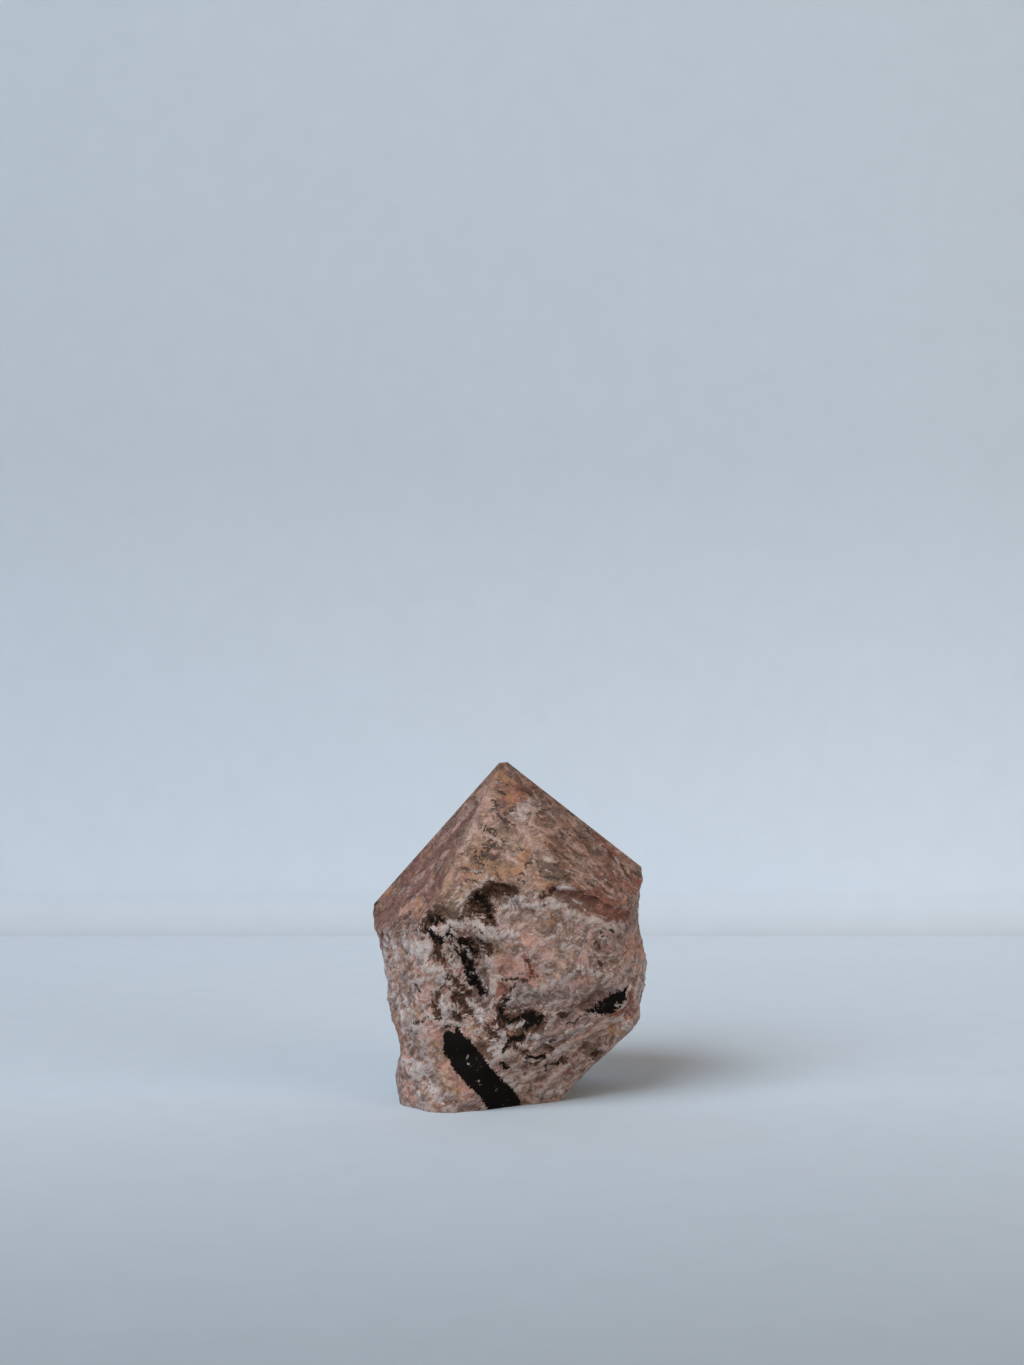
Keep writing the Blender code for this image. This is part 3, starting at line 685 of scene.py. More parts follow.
FRONT_SIDE = {
    "bar": BLACK_BAR,
    "black": BLACK_STREAKS,
    "smoky": SMOKY_PATCHES,
    "olive": OLIVE_GRAINS,
    "cream": CREAM_PATCHES,
    "blush": LIGHT_GRAINS,
    "red": RED_STAINS,
    "rust": RUST_STAINS,
    "pink": PINK_PATCHES,
    "pale": PALE_PATCHES,
    "mauve": MAUVE_PATCHES_AND_LEFT_SHADE,
    "dirty": DIRTY_PATCHES,
    "crack": CRACKS,
    "vein_and_glint": VEINS_AND_GLINTS,
    "lip": LIPS,
    "layered": LAYERED_PLACES,
    "chunky": CHUNKY_PLACES,
}
SIDES = {FRONT: FRONT_SIDE, RIGHT: RIGHT_SIDE, BACK: BACK_SIDE, LEFT: LEFT_SIDE, UNDER: SAWN_FOOT}

# Where the front's smaller marks come again: the side, how much narrower, and between which places across it
# they may lie. Those on the facets, above FACET_FOOT, are mirrored, and those below are turned half round.
REPEATED = ((RIGHT, 0.8, 2.0, 99.0), (BACK, 1.0, -99.0, 99.0), (LEFT, 0.8, -99.0, -2.0))
ONCE_ONLY = ("bar", "lip", "layered", "chunky", "mauve")
FACET_FOOT = 38.0
TURN_HEIGHT = 36.0


def own_marks():
    """The marks that the tables give."""
    for azimuth, paints in SIDES.items():
        for paint, paths in paints.items():
            for path in paths:
                yield Mark(paint, azimuth, path)


def marks_behind():
    """The front's smaller marks, mirrored on the facets and turned half round below them."""
    for azimuth, narrower, lowest, highest in REPEATED:
        for mark in own_marks():
            if mark.azimuth == FRONT and mark.paint not in ONCE_ONLY:
                on_facet = mark.path[0][1] > FACET_FOOT
                path = [(-x * narrower, z if on_facet else TURN_HEIGHT - z, w) for x, z, w in mark.path]
                if all(lowest < x < highest for x, _, _ in path):
                    yield Mark(mark.paint, azimuth, path)


def colour_setting(name, description, default):
    return FloatVectorProperty(name=name, description=description, subtype="COLOR", default=default)


def length_setting(name, description, millimetres):
    return FloatProperty(name=name, description=description, default=millimetres * MM, unit="LENGTH")


def power_setting(name, description, watts):
    return FloatProperty(name=name, description=description, default=watts, unit="POWER")


class StoneShape(bpy.types.PropertyGroup):
    """How finely the stone is broken and ground."""

    voxel: length_setting("Mesh size", "Edge of a mesh cell", 0.38)
    soften: IntProperty(name="Soften", description="Rounds of smoothing under the new relief", default=8)
    chip_size: length_setting("Chip size", "Size of a broken chip", 2.3)
    chip_rise: length_setting("Chip rise", "Height of a chip", 0.42)
    fibre_size: length_setting("Fibre size", "Width of a fibre", 0.9)
    fibre_rise: length_setting("Fibre rise", "Height of a fibre", 0.24)
    layer_size: length_setting("Layer size", "Thickness of a layer", 1.9)
    layer_rise: length_setting("Layer rise", "Height of a layer's edge", 0.45)
    grain_lean: FloatProperty(
        name="Grain lean", description="How the layers climb", default=math.radians(37.0), subtype="ANGLE"
    )


class StoneColours(bpy.types.PropertyGroup):
    """The stone's colours, in linear light."""

    beige: colour_setting("Beige", "Broken feldspar", (0.23, 0.147, 0.113))
    peach: colour_setting("Peach", "Warm feldspar", (0.254, 0.141, 0.103))
    pink: colour_setting("Pink", "Clear pink feldspar", (0.334, 0.176, 0.135))
    lilac: colour_setting("Lilac", "Cool feldspar", (0.226, 0.15, 0.135))
    ice: colour_setting("Ice", "Frosted crystal", (0.398, 0.343, 0.322))
    tan: colour_setting("Tan", "Ground feldspar", (0.145, 0.065, 0.036))
    rose: colour_setting("Rose", "Ground pink feldspar", (0.128, 0.047, 0.032))
    grey: colour_setting("Grey", "Ground grey feldspar", (0.159, 0.0966, 0.0718))
    # Mauve is also kept dark for the painted shade on the left facet
    mauve: colour_setting("Mauve", "Purplish feldspar", (0.102, 0.0397, 0.0303))
    # Brown is also the colour of the painted shade in the hollows
    brown: colour_setting("Brown", "Dirt and thin mica", (0.085, 0.042, 0.027))
    smoky: colour_setting("Smoky", "Dark inclusions", (0.024, 0.012, 0.008))
    black: colour_setting("Black", "Black crystal", (0.006, 0.0045, 0.0038))
    rust: colour_setting("Rust", "Iron stain", (0.247, 0.105, 0.0453))
    ochre: colour_setting("Ochre", "Yellow iron stain", (0.215, 0.118, 0.052))
    cream: colour_setting("Cream", "Yellowish feldspar", (0.275, 0.172, 0.113))
    olive: colour_setting("Olive", "Clear brownish grains", (0.0808, 0.0458, 0.0252))
    blush: colour_setting("Blush", "Light ground feldspar", (0.29, 0.18, 0.145))
    red: colour_setting("Red", "Red-brown stain", (0.17, 0.0598, 0.0423))


class StageLook(bpy.types.PropertyGroup):
    """The floor, the wall and the light."""

    floor: colour_setting("Floor", "Colour of the floor", (0.587, 0.655, 0.725))
    wall_distance: length_setting("Wall distance", "From the stone's axis to the wall", 236.0)
    key: power_setting("Key", "Power of the window light", 10.5)
    fill: power_setting("Fill", "Power of the light from the right", 2.4)
    sky: FloatProperty(name="Sky", description="Strength of the light from all round", default=0.152)


# The camera's view of a mark, and where it lies on the stone


def seen_from(azimuth):
    """The camera's place, carried round or under the stone, and the turn that carries the sheet."""
    if azimuth is UNDER:
        return Vector((0.0, 0.0, -CAMERA_DISTANCE / MM)), Matrix.Rotation(math.radians(-90.0), 3, "X")
    turn = Matrix.Rotation(math.radians(azimuth), 3, "Z")
    return turn @ Vector((0.0, -CAMERA_DISTANCE / MM, CAMERA_HEIGHT / MM)), turn


def mark_points(mark, surface):
    """The mark's path on the stone: points a third of a millimetre apart, each with its width."""
    eye, turn = seen_from(mark.azimuth)
    sway = BAR_SWAY if mark.paint == "bar" else SWAY
    points = []
    for (x0, z0, w0), (x1, z1, w1) in zip(mark.path, mark.path[1:]):
        steps = max(2, math.ceil(math.hypot(x1 - x0, z1 - z0) / PATH_STEP))
        for step in range(steps + 1):
            share = step / steps
            aim = Vector((x0 + (x1 - x0) * share, 0.0, z0 + (z1 - z0) * share))
            aim = turn @ (aim + sway * noise.noise_vector(aim / SWAY_LENGTH))
            hit = surface.ray_cast(eye, (aim - eye).normalized())[0]
            if hit is not None:
                points.append((hit, w0 + (w1 - w0) * share))
    return points


def paint_marks(bm):
    """Writes each paint's weight on the stone's vertices."""
    surface = BVHTree.FromBMesh(bm)
    bm.verts.ensure_lookup_table()
    places = kdtree.KDTree(len(bm.verts))
    for vert in bm.verts:
        places.insert(vert.co, vert.index)
    places.balance()
    weights = {paint: np.zeros(len(bm.verts)) for paint in SOFTNESS}
    for mark in (*own_marks(), *marks_behind()):
        soft = SOFTNESS[mark.paint]
        weight = weights[mark.paint]
        for point, width in mark_points(mark, surface):
            for _, index, distance in places.find_range(point, width / 2.0 + soft):
                value = 0.5 + 0.5 * (width / 2.0 - distance) / soft
                if value > weight[index]:
                    weight[index] = value
    for paint, weight in weights.items():
        layer = bm.verts.layers.float.new(paint)
        for vert in bm.verts:
            vert[layer] = min(1.0, weight[vert.index])


# The stone's shape


def flat_faces(bm):
    """The ground facets, the tip and the sawn foot of the CAD stone, as points and outward normals."""
    planes = []
    for face in sorted(bm.faces, key=lambda f: -f.calc_area()):
        area = face.calc_area()
        for plane in planes:
            apart = abs((face.verts[0].co - plane[0]).dot(plane[1]))
            if plane[1].dot(face.normal) > SAME_FACING and apart < SAME_LEVEL:
                plane[2] += area
                break
        else:
            if area > LEAST_PART or face.normal.z > 0.98:
                planes.append([face.verts[0].co.copy(), face.normal.copy(), area])
    top = max(vert.co.z for vert in bm.verts)
    return [(point, normal) for point, normal, area in planes if area > LEAST_FLAT or point.z > top - 0.5]


def dense_copy(node, shape):
    """The CAD stone as an even fine mesh, in millimetres, with its flat faces."""
    bm = bmesh.new()
    bm.from_mesh(node.data)
    bmesh.ops.remove_doubles(bm, verts=bm.verts, dist=0.001 * MM)
    mesh = bpy.data.meshes.new("stone cells")
    bm.to_mesh(mesh)
    bmesh.ops.scale(bm, verts=bm.verts, vec=(1.0 / MM, 1.0 / MM, 1.0 / MM))
    bm.normal_update()
    planes = flat_faces(bm)
    bm.free()
    holder = bpy.data.objects.new("stone cells", mesh)
    bpy.context.scene.collection.objects.link(holder)
    remesh = holder.modifiers.new("cells", "REMESH")
    remesh.mode = "VOXEL"
    remesh.voxel_size = shape.voxel
    dense = bmesh.new()
    dense.from_object(holder, bpy.context.evaluated_depsgraph_get())
    bpy.data.objects.remove(holder)
    bpy.data.meshes.remove(mesh)
    bmesh.ops.scale(dense, verts=dense.verts, vec=(1.0 / MM, 1.0 / MM, 1.0 / MM))
    dense.normal_update()
    return dense, planes


def nearest_plane(place, planes):
    """The flat face that the place lies nearest under, and how deep."""
    depths = [(normal.dot(point - place), normal) for point, normal in planes]
    return min(depths, key=lambda pair: pair[0])


def relief(place, weights, shape):
    """How far a rough place stands out, in millimetres."""
    lean = shape.grain_lean
    across = Vector((-math.sin(lean), 0.25, math.cos(lean))).normalized()
    warped = place + 1.6 * noise.noise_vector(place / 5.0)
    grain = warped + across * (warped.dot(across) * 1.6)
    chunky, layered = weights["chunky"], weights["layered"]
    cell = grain / (shape.chip_size / MM)
    centre = noise.voronoi(cell)[1][0]
    tilt = (cell - centre).dot(noise.noise_vector(centre * 5.1)) * 1.3
    chips = (shape.chip_rise / MM) * (0.25 + 1.1 * chunky) * tilt
    fibre = noise.turbulence(grain / (shape.fibre_size / MM * 2.2), 3, True) - 0.4
    fibres = (shape.fibre_rise / MM) * fibre
    phase = (warped.dot(across) / (shape.layer_size / MM) + 0.8 * noise.noise(place / 7.0)) % 1.0
    layers = (shape.layer_rise / MM) * layered * (min(phase, 4.0 * (1.0 - phase)) - 0.4)
    rough = chips + fibres + layers
    calm = 1.0 - 0.85 * min(1.0, max(0.0, (weights["bar"] - 0.35) * 4.0))
    marks = sum(rise * min(1.0, max(0.0, (weights[paint] - 0.3) * 2.0)) for paint, rise in RISE.items())
    return rough * calm + marks


def break_roughly(bm, planes, shape):
    """Rounds off the coarse mesh where the stone is rough, then breaks it into chips, fibres and layers."""
    bm.verts.ensure_lookup_table()
    depths = [nearest_plane(vert.co, planes) for vert in bm.verts]
    rough = [vert for vert, (depth, _) in zip(bm.verts, depths) if depth > SKIN]
    for _ in range(shape.soften):
        bmesh.ops.smooth_vert(bm, verts=rough, factor=0.5, use_axis_x=True, use_axis_y=True, use_axis_z=True)
    bm.normal_update()
    layers = {paint: bm.verts.layers.float[paint] for paint in SOFTNESS}
    moves = []
    for vert, (depth, facet) in zip(bm.verts, depths):
        share = min(1.0, max(0.0, (depth - SKIN) / 0.5))
        weights = {paint: vert[layer] for paint, layer in layers.items()}
        move = facet * (0.3 * (1.0 - share))
        if share > 0.0:
            ragged = 0.7 * max(0.0, 1.0 - depth / 2.0) * noise.noise(vert.co / 1.7)
            move = move + vert.normal * (share * (ragged + relief(vert.co, weights, shape)))
        moves.append(move)
    for vert, move in zip(bm.verts, moves):
        vert.co += move


def grind(bm, planes):
    """Brings what stands past each flat face down onto it, with a crisp edge all round."""
    for point, normal in planes:
        geometry = bm.verts[:] + bm.edges[:] + bm.faces[:]
        bmesh.ops.bisect_plane(bm, geom=geometry, dist=1e-6, plane_co=point, plane_no=normal)
        for vert in bm.verts:
            past = normal.dot(vert.co - point)
            if past > 1e-6:
                vert.co -= normal * past
    bmesh.ops.remove_doubles(bm, verts=bm.verts, dist=0.01)


def blurred(values, ends, rounds):
    """The values averaged with their neighbours' along the mesh's edges."""
    count = np.bincount(ends.ravel(), minlength=len(values))[:, None] + 1.0
    for _ in range(rounds):
        total = values.copy()
        np.add.at(total, ends[:, 0], values[ends[:, 1]])
        np.add.at(total, ends[:, 1], values[ends[:, 0]])
        values = total / count
    return values


def keep_weight(mesh, name, values):
    attribute = mesh.attributes.get(name) or mesh.attributes.new(name, "FLOAT", "POINT")
    attribute.data.foreach_set("value", np.asarray(values, np.float32))


def measure_surface(mesh, planes):
    """Weights for the ground and sawn faces, and for how deep a place lies below its surroundings; from the
    last the material paints shade in the hollows and highlights on the raised edges.
    """
    count = len(mesh.vertices)
    places = np.empty(count * 3)
    mesh.vertices.foreach_get("co", places)
    places = places.reshape(-1, 3) / MM
    normals = np.empty(count * 3)
    mesh.vertices.foreach_get("normal", normals)
    normals = normals.reshape(-1, 3)
    ends = np.empty(len(mesh.edges) * 2, np.int32)
    mesh.edges.foreach_get("vertices", ends)
    ends = ends.reshape(-1, 2)
    for name, rounds, reach in (("hollow", 8, 0.14), ("deep", 50, 0.45)):
        below = ((blurred(places, ends, rounds) - places) * normals).sum(axis=1) / reach
        keep_weight(mesh, name, np.clip(below, -1.0, 1.0))
    ground = np.zeros(count)
    sawn = np.zeros(count)
    for point, normal in planes:
        on_it = np.abs((places - np.array(point)) @ np.array(normal)) < 0.01
        if normal.z < -0.9:
            sawn[on_it] = 1.0
        else:
            ground[on_it] = 1.0
    keep_weight(mesh, "ground", ground)
    keep_weight(mesh, "sawn", sawn)
    keep_weight(mesh, "worn", blurred((ground + sawn)[:, None], ends, 12)[:, 0])


# The stone's material


class Wiring:
    """Builds a shader's node tree, one node a call. Sizes are in millimetres on the stone."""

    def __init__(self, material):
        self.tree = material.node_tree
        coordinates = self.tree.nodes.new("ShaderNodeTexCoord")
        self.place = self.scaled(coordinates.outputs["Object"], (1.0 / MM,) * 3)

    def socket(self, target, value):
        if isinstance(value, bpy.types.NodeSocket):
            self.tree.links.new(value, target)
        elif target.type == "VALUE":
            target.default_value = value
        elif isinstance(value, (int, float)):
            target.default_value = (value,) * len(target.default_value)
        elif target.type == "RGBA":
            target.default_value = (*value, 1.0)
        else:
            target.default_value = tuple(value)

    def math(self, operation, first, second=0.0, clamp=False):
        node = self.tree.nodes.new("ShaderNodeMath")
        node.operation = operation
        node.use_clamp = clamp
        self.socket(node.inputs[0], first)
        self.socket(node.inputs[1], second)
        return node.outputs[0]

    def vector(self, operation, first, second):
        node = self.tree.nodes.new("ShaderNodeVectorMath")
        node.operation = operation
        self.socket(node.inputs[0], first)
        self.socket(node.inputs[1], second)
        return node.outputs["Vector"]

    def product(self, first, second):
        return self.math("MULTIPLY", first, second)

    def scaled(self, vector, scale):
        """A colour or vector times a number, or part by part."""
        return self.vector("MULTIPLY", vector, scale)

    def turned(self, vector, angles, scale):
        node = self.tree.nodes.new("ShaderNodeMapping")
        self.socket(node.inputs["Vector"], vector)
        node.inputs["Rotation"].default_value = angles
        node.inputs["Scale"].default_value = scale
        return node.outputs["Vector"]

    def noise(self, vector, size, detail=3.0, roughness=0.55, colour=False, distortion=0.0):
        node = self.tree.nodes.new("ShaderNodeTexNoise")
        self.socket(node.inputs["Vector"], vector)
        node.inputs["Scale"].default_value = 1.0 / size
        node.inputs["Detail"].default_value = detail
        node.inputs["Roughness"].default_value = roughness
        node.inputs["Distortion"].default_value = distortion
        return node.outputs["Color" if colour else "Fac"]

    def cells(self, vector, size, feature="F1", output="Color"):
        node = self.tree.nodes.new("ShaderNodeTexVoronoi")
        node.feature = feature
        self.socket(node.inputs["Vector"], vector)
        node.inputs["Scale"].default_value = 1.0 / size
        return node.outputs[output]

    def first(self, colour):
        """The colour's red part."""
        node = self.tree.nodes.new("ShaderNodeSeparateColor")
        self.socket(node.inputs["Color"], colour)
        return node.outputs["Red"]

    def weight(self, name):
        node = self.tree.nodes.new("ShaderNodeAttribute")
        node.attribute_name = name
        return node.outputs["Fac"]

    def smooth(self, value, low, high):
        """0 below low, 1 above high, and a smooth climb between."""
        node = self.tree.nodes.new("ShaderNodeMapRange")
        node.interpolation_type = "SMOOTHSTEP"
        self.socket(node.inputs["Value"], value)
        node.inputs["From Min"].default_value = low
        node.inputs["From Max"].default_value = high
        return node.outputs["Result"]

    def spread(self, value, low, high, lowest, highest):
        """Lowest below low, highest above high, and a straight climb between."""
        node = self.tree.nodes.new("ShaderNodeMapRange")
        self.socket(node.inputs["Value"], value)
        for name, number in (("From Min", low), ("From Max", high), ("To Min", lowest), ("To Max", highest)):
            node.inputs[name].default_value = number
        return node.outputs["Result"]

    def mix(self, factor, below, above):
        node = self.tree.nodes.new("ShaderNodeMix")
        node.data_type = "RGBA"
        self.socket(node.inputs["Factor"], factor)
        self.socket(node.inputs[6], below)
        self.socket(node.inputs[7], above)
        return node.outputs[2]

def feldspar(colours):
    """The stone's one material: rough feldspar, ground feldspar and the crystals and stains in both, with
    painted shade in the hollows and painted highlights on raised edges and on the black crystals.
    """
    material = bpy.data.materials.new("moonstone look")
    material.use_nodes = True
    shader = material.node_tree.nodes["Principled BSDF"]
    w = Wiring(material)

    bend = w.vector("SUBTRACT", w.noise(w.place, 7.0, 2.0, colour=True), (0.5, 0.5, 0.5))
    curl = w.vector("SUBTRACT", w.noise(w.place, 1.8, 3.0, colour=True), (0.5, 0.5, 0.5))
    place = w.vector("ADD", w.place, w.scaled(bend, (6.0, 6.0, 6.0)))
    place = w.vector("ADD", place, w.scaled(curl, (1.2, 1.2, 1.2)))
    climbing = w.turned(place, (0.0, math.radians(37.0), 0.0), (0.34, 0.6, 1.0))
    steep = w.turned(place, (0.0, math.radians(57.0), 0.0), (0.30, 0.6, 1.0))
    falling = w.turned(place, (0.0, math.radians(-42.0), 0.0), (0.34, 0.6, 1.0))

    def elsewhere(vector, shift):
        return w.vector("ADD", vector, (shift, -shift * 0.7, shift * 0.4))

    def threads(vector, size, thin, thick, shift):
        """Thin winding lines."""
        winding = w.noise(elsewhere(vector, shift), size, 4.0, 0.6)
        folded = w.math("ABSOLUTE", w.math("SUBTRACT", winding, 0.5))
        return w.smooth(folded, thick, thin)

    cloud = w.noise(place, 5.0, 3.0, 0.6)
    tint = w.noise(elsewhere(place, 31.0), 3.0, 4.0, 0.66)
    drift = w.noise(elsewhere(place, 57.0), 4.2, 3.0)
    wisp = w.noise(climbing, 0.9, 4.0, 0.66)
    thread = w.noise(elsewhere(climbing, 13.0), 0.8, 4.0, 0.66)
    fine = w.noise(w.place, 0.45, 2.0, 0.65)
    speck = w.noise(elsewhere(place, 9.0), 0.7, 4.0, 0.7)
    shade = w.spread(w.noise(elsewhere(place, 21.0), 1.6, 4.0, 0.66), 0.38, 0.62, 0.60, 1.42)
    wavy = w.vector("ADD", w.place, w.scaled(curl, (2.6, 2.6, 2.6)))
    cells = w.cells(wavy, 2.6, "DISTANCE_TO_EDGE", "Distance")
    kind = w.first(w.cells(wavy, 2.6))
    pale_threads = threads(place, 1.7, 0.006, 0.030, 111.0)
    dark_threads = threads(place, 2.1, 0.006, 0.026, 143.0)

    # Rough feldspar: smooth clouds, crystals with frosted rims, and layers with dirt between them
    chunky = w.smooth(w.weight("chunky"), 0.15, 0.75)
    layered = w.smooth(w.weight("layered"), 0.15, 0.75)
    rough = w.mix(w.smooth(cloud, 0.47, 0.53), colours.lilac, colours.beige)
    rough = w.mix(w.product(w.smooth(tint, 0.54, 0.58), 0.6), rough, colours.peach)
    rough = w.mix(w.product(w.product(w.smooth(kind, 0.48, 0.54), chunky), 0.8), rough, colours.pink)
    rough = w.mix(w.product(w.product(w.smooth(kind, 0.30, 0.25), chunky), 0.5), rough, colours.ice)
    rough = w.mix(w.product(layered, 0.5), rough, colours.beige)
    rough = w.scaled(rough, w.spread(layered, 0.0, 1.0, 1.0, 1.5))
    rough = w.scaled(rough, w.spread(kind, 0.2, 0.8, 0.84, 1.18))
    wisps = w.product(w.smooth(wisp, 0.55, 0.62), w.spread(chunky, 0.0, 1.0, 0.26, 0.42))
    rough = w.mix(wisps, rough, colours.ice)
    soil = w.math("ADD", w.weight("dirty"), w.product(w.math("SUBTRACT", tint, 0.5), 2.0))
    soil = w.smooth(soil, 0.2, 0.8)
    rough = w.mix(w.product(soil, 0.55), rough, colours.mauve)
    bands = w.math("ADD", w.product(w.math("MAXIMUM", layered, soil), 0.4), 0.35)
    rough = w.mix(w.product(w.smooth(thread, 0.45, 0.39), bands), rough, colours.brown)
    often = w.math("MAXIMUM", w.product(w.smooth(drift, 0.46, 0.58), 0.7), soil)
    clusters = w.product(w.smooth(speck, 0.56, 0.60), often)
    rough = w.mix(w.product(clusters, 0.85), rough, colours.brown)
    rough = w.mix(w.product(w.product(dark_threads, often), 0.8), rough, colours.brown)
    rims = w.product(w.smooth(cells, 0.10, 0.03), chunky)
    rims = w.product(rims, w.smooth(wisp, 0.42, 0.54))
    some = w.product(w.smooth(tint, 0.44, 0.52), w.spread(chunky, 0.0, 1.0, 0.45, 1.0))
    rims = w.math("MAXIMUM", rims, w.product(pale_threads, some))
    rough = w.mix(w.product(rims, 0.85), rough, colours.ice)

    # Ground feldspar: clear and cloudy grains that lean with the facets, dark needles and pale hairlines
    east = w.smooth(w.math("ADD", w.first(w.place), w.product(w.first(bend), 8.0)), -7.0, 1.0)
    needles = w.mix(east, w.noise(steep, 0.6, 3.0, 0.66), w.noise(elsewhere(falling, 5.0), 0.6, 3.0, 0.66))
    grain = w.first(w.cells(falling, 2.3))
    seam = w.cells(falling, 2.3, "DISTANCE_TO_EDGE", "Distance")
    ground = w.mix(w.smooth(cloud, 0.47, 0.53), colours.tan, colours.rose)
    ground = w.mix(w.product(w.smooth(tint, 0.52, 0.57), 0.5), ground, colours.grey)
    ground = w.mix(w.product(east, w.smooth(cloud, 0.42, 0.52)), ground, colours.grey)
    ground = w.scaled(ground, w.spread(grain, 0.2, 0.8, 0.60, 1.34))
    ground = w.mix(w.product(w.smooth(needles, 0.55, 0.60), 0.6), ground, colours.blush)
    ground = w.mix(w.product(w.smooth(needles, 0.44, 0.39), 0.85), ground, colours.brown)
    often = w.math("MAXIMUM", w.smooth(drift, 0.46, 0.58), soil)
    ground = w.mix(w.product(w.product(dark_threads, often), 0.9), ground, colours.brown)
    clusters = w.product(w.smooth(speck, 0.57, 0.61), often)
    ground = w.mix(w.product(clusters, 0.8), ground, colours.smoky)
    hairline = w.product(w.smooth(seam, 0.06, 0.01), w.smooth(drift, 0.52, 0.44))
    hairline = w.product(hairline, w.smooth(tint, 0.46, 0.54))
    hairline = w.math("MAXIMUM", hairline, w.product(pale_threads, w.smooth(cloud, 0.44, 0.52)))
    ground = w.mix(w.product(hairline, 0.7), ground, colours.blush)

    flat = w.math("MAXIMUM", w.weight("ground"), w.weight("sawn"))
    worn = w.math("ADD", w.weight("worn"), w.product(w.math("SUBTRACT", wisp, 0.5), 1.6))
    colour = w.mix(w.smooth(worn, 0.3, 0.7), rough, ground)

    # Patches and stains
    def patch(name, strength, size, spread, low, high):
        ragged = w.math("SUBTRACT", w.noise(elsewhere(place, size * 40.0), size, 5.0, 0.68), 0.5)
        edge = w.math("ADD", w.weight(name), w.product(ragged, spread))
        return w.product(w.smooth(edge, low, high), strength)

    streak = w.smooth(w.noise(steep, 0.7, 4.0, 0.65), 0.44, 0.62)
    purple = w.mix(streak, colours.mauve, colours.rose)
    # Mauve patches, among them the painted shade on the left facet
    colour = w.mix(patch("mauve", 0.75, 2.5, 1.4, 0.3, 0.75), colour, purple)
    colour = w.mix(w.product(w.product(streak, flat), 0.25), colour, colours.beige)
    colour = w.mix(patch("cream", 0.65, 1.8, 2.6, 0.35, 0.7), colour, colours.cream)
    colour = w.mix(patch("blush", 0.8, 1.4, 2.2, 0.38, 0.62), colour, colours.blush)
    colour = w.mix(patch("pink", 0.9, 2.2, 1.6, 0.35, 0.65), colour, colours.pink)
    stain = w.mix(w.smooth(tint, 0.42, 0.58), colours.ochre, colours.rust)
    colour = w.mix(patch("rust", 0.75, 1.6, 2.4, 0.35, 0.8), colour, stain)
    colour = w.mix(patch("red", 0.9, 1.8, 3.0, 0.34, 0.66), colour, colours.red)
    frost = w.product(patch("pale", 0.95, 0.9, 2.8, 0.40, 0.62), w.smooth(thread, 0.36, 0.56))
    frost = w.product(frost, w.math("SUBTRACT", 1.0, w.product(flat, 0.5)))
    colour = w.mix(frost, colour, colours.ice)

    colour = w.scaled(colour, shade)
    colour = w.mix(w.product(w.smooth(fine, 0.60, 0.68), 0.4), colour, colours.ice)
    colour = w.mix(w.product(w.smooth(fine, 0.40, 0.32), 0.5), colour, colours.brown)

    # Painted shade: browner in the hollows and deep places. Painted highlight: paler on the raised edges of
    # the broken stone
    hollow = w.weight("hollow")
    broken = w.math("SUBTRACT", 1.0, flat)
    painted_hollow_shade = w.product(w.smooth(hollow, 0.1, 0.9), w.smooth(fine, 0.3, 0.55))
    colour = w.mix(w.product(painted_hollow_shade, 0.65), colour, colours.brown)
    # Painted shade in the deep places
    colour = w.mix(w.product(w.smooth(w.weight("deep"), 0.2, 1.0), 0.45), colour, colours.brown)
    # Painted highlight on the raised edges, in the frosted crystal's colour
    edges = w.product(w.smooth(hollow, -0.2, -0.9), w.product(broken, 0.5))
    colour = w.mix(edges, colour, colours.ice)

    colour = w.mix(patch("olive", 0.85, 1.0, 1.6, 0.42, 0.54), colour, w.scaled(colours.olive, shade))
    smoky = patch("smoky", 0.95, 0.8, 3.0, 0.36, 0.56)
    smoke = w.mix(w.smooth(speck, 0.46, 0.57), colours.smoky, w.scaled(colours.brown, 0.9))
    colour = w.mix(smoky, colour, smoke)
    long_bar = patch("bar", 1.0, 0.6, 1.3, 0.47, 0.55)
    black = w.math("MAXIMUM", patch("black", 1.0, 0.9, 2.2, 0.47, 0.55), long_bar)
    # Pale specks on the black crystals: painted glints
    glint = w.product(w.smooth(speck, 0.66, 0.70), 0.6)
    colour = w.mix(patch("crack", 0.95, 0.6, 1.3, 0.43, 0.54), colour, w.scaled(colours.brown, 0.4))
    colour = w.mix(black, colour, w.mix(glint, colours.black, colours.beige))
    # Pale veins, and the painted glints among them
    pale_veins_and_glints = w.product(patch("vein_and_glint", 0.7, 0.8, 1.2, 0.44, 0.58), w.spread(flat, 0.0, 1.0, 1.0, 0.8))
    colour = w.mix(pale_veins_and_glints, colour, colours.ice)
    w.socket(shader.inputs["Base Color"], colour)

    gloss = w.math("SUBTRACT", 0.62, w.product(w.weight("ground"), 0.2))
    gloss = w.math("ADD", gloss, w.product(w.math("SUBTRACT", fine, 0.5), 0.25), clamp=True)
    w.socket(shader.inputs["Roughness"], gloss)
    shine = w.math("SUBTRACT", 0.13, w.product(w.math("MAXIMUM", black, smoky), 0.1))
    w.socket(shader.inputs["Specular IOR Level"], shine)

    bump = material.node_tree.nodes.new("ShaderNodeBump")
    bump.inputs["Distance"].default_value = 0.15 * MM
    w.socket(bump.inputs["Strength"], w.math("SUBTRACT", 0.55, w.product(flat, 0.50)))
    w.socket(bump.inputs["Height"], w.math("ADD", fine, wisp))
    w.socket(shader.inputs["Normal"], bump.outputs["Normal"])
    return material


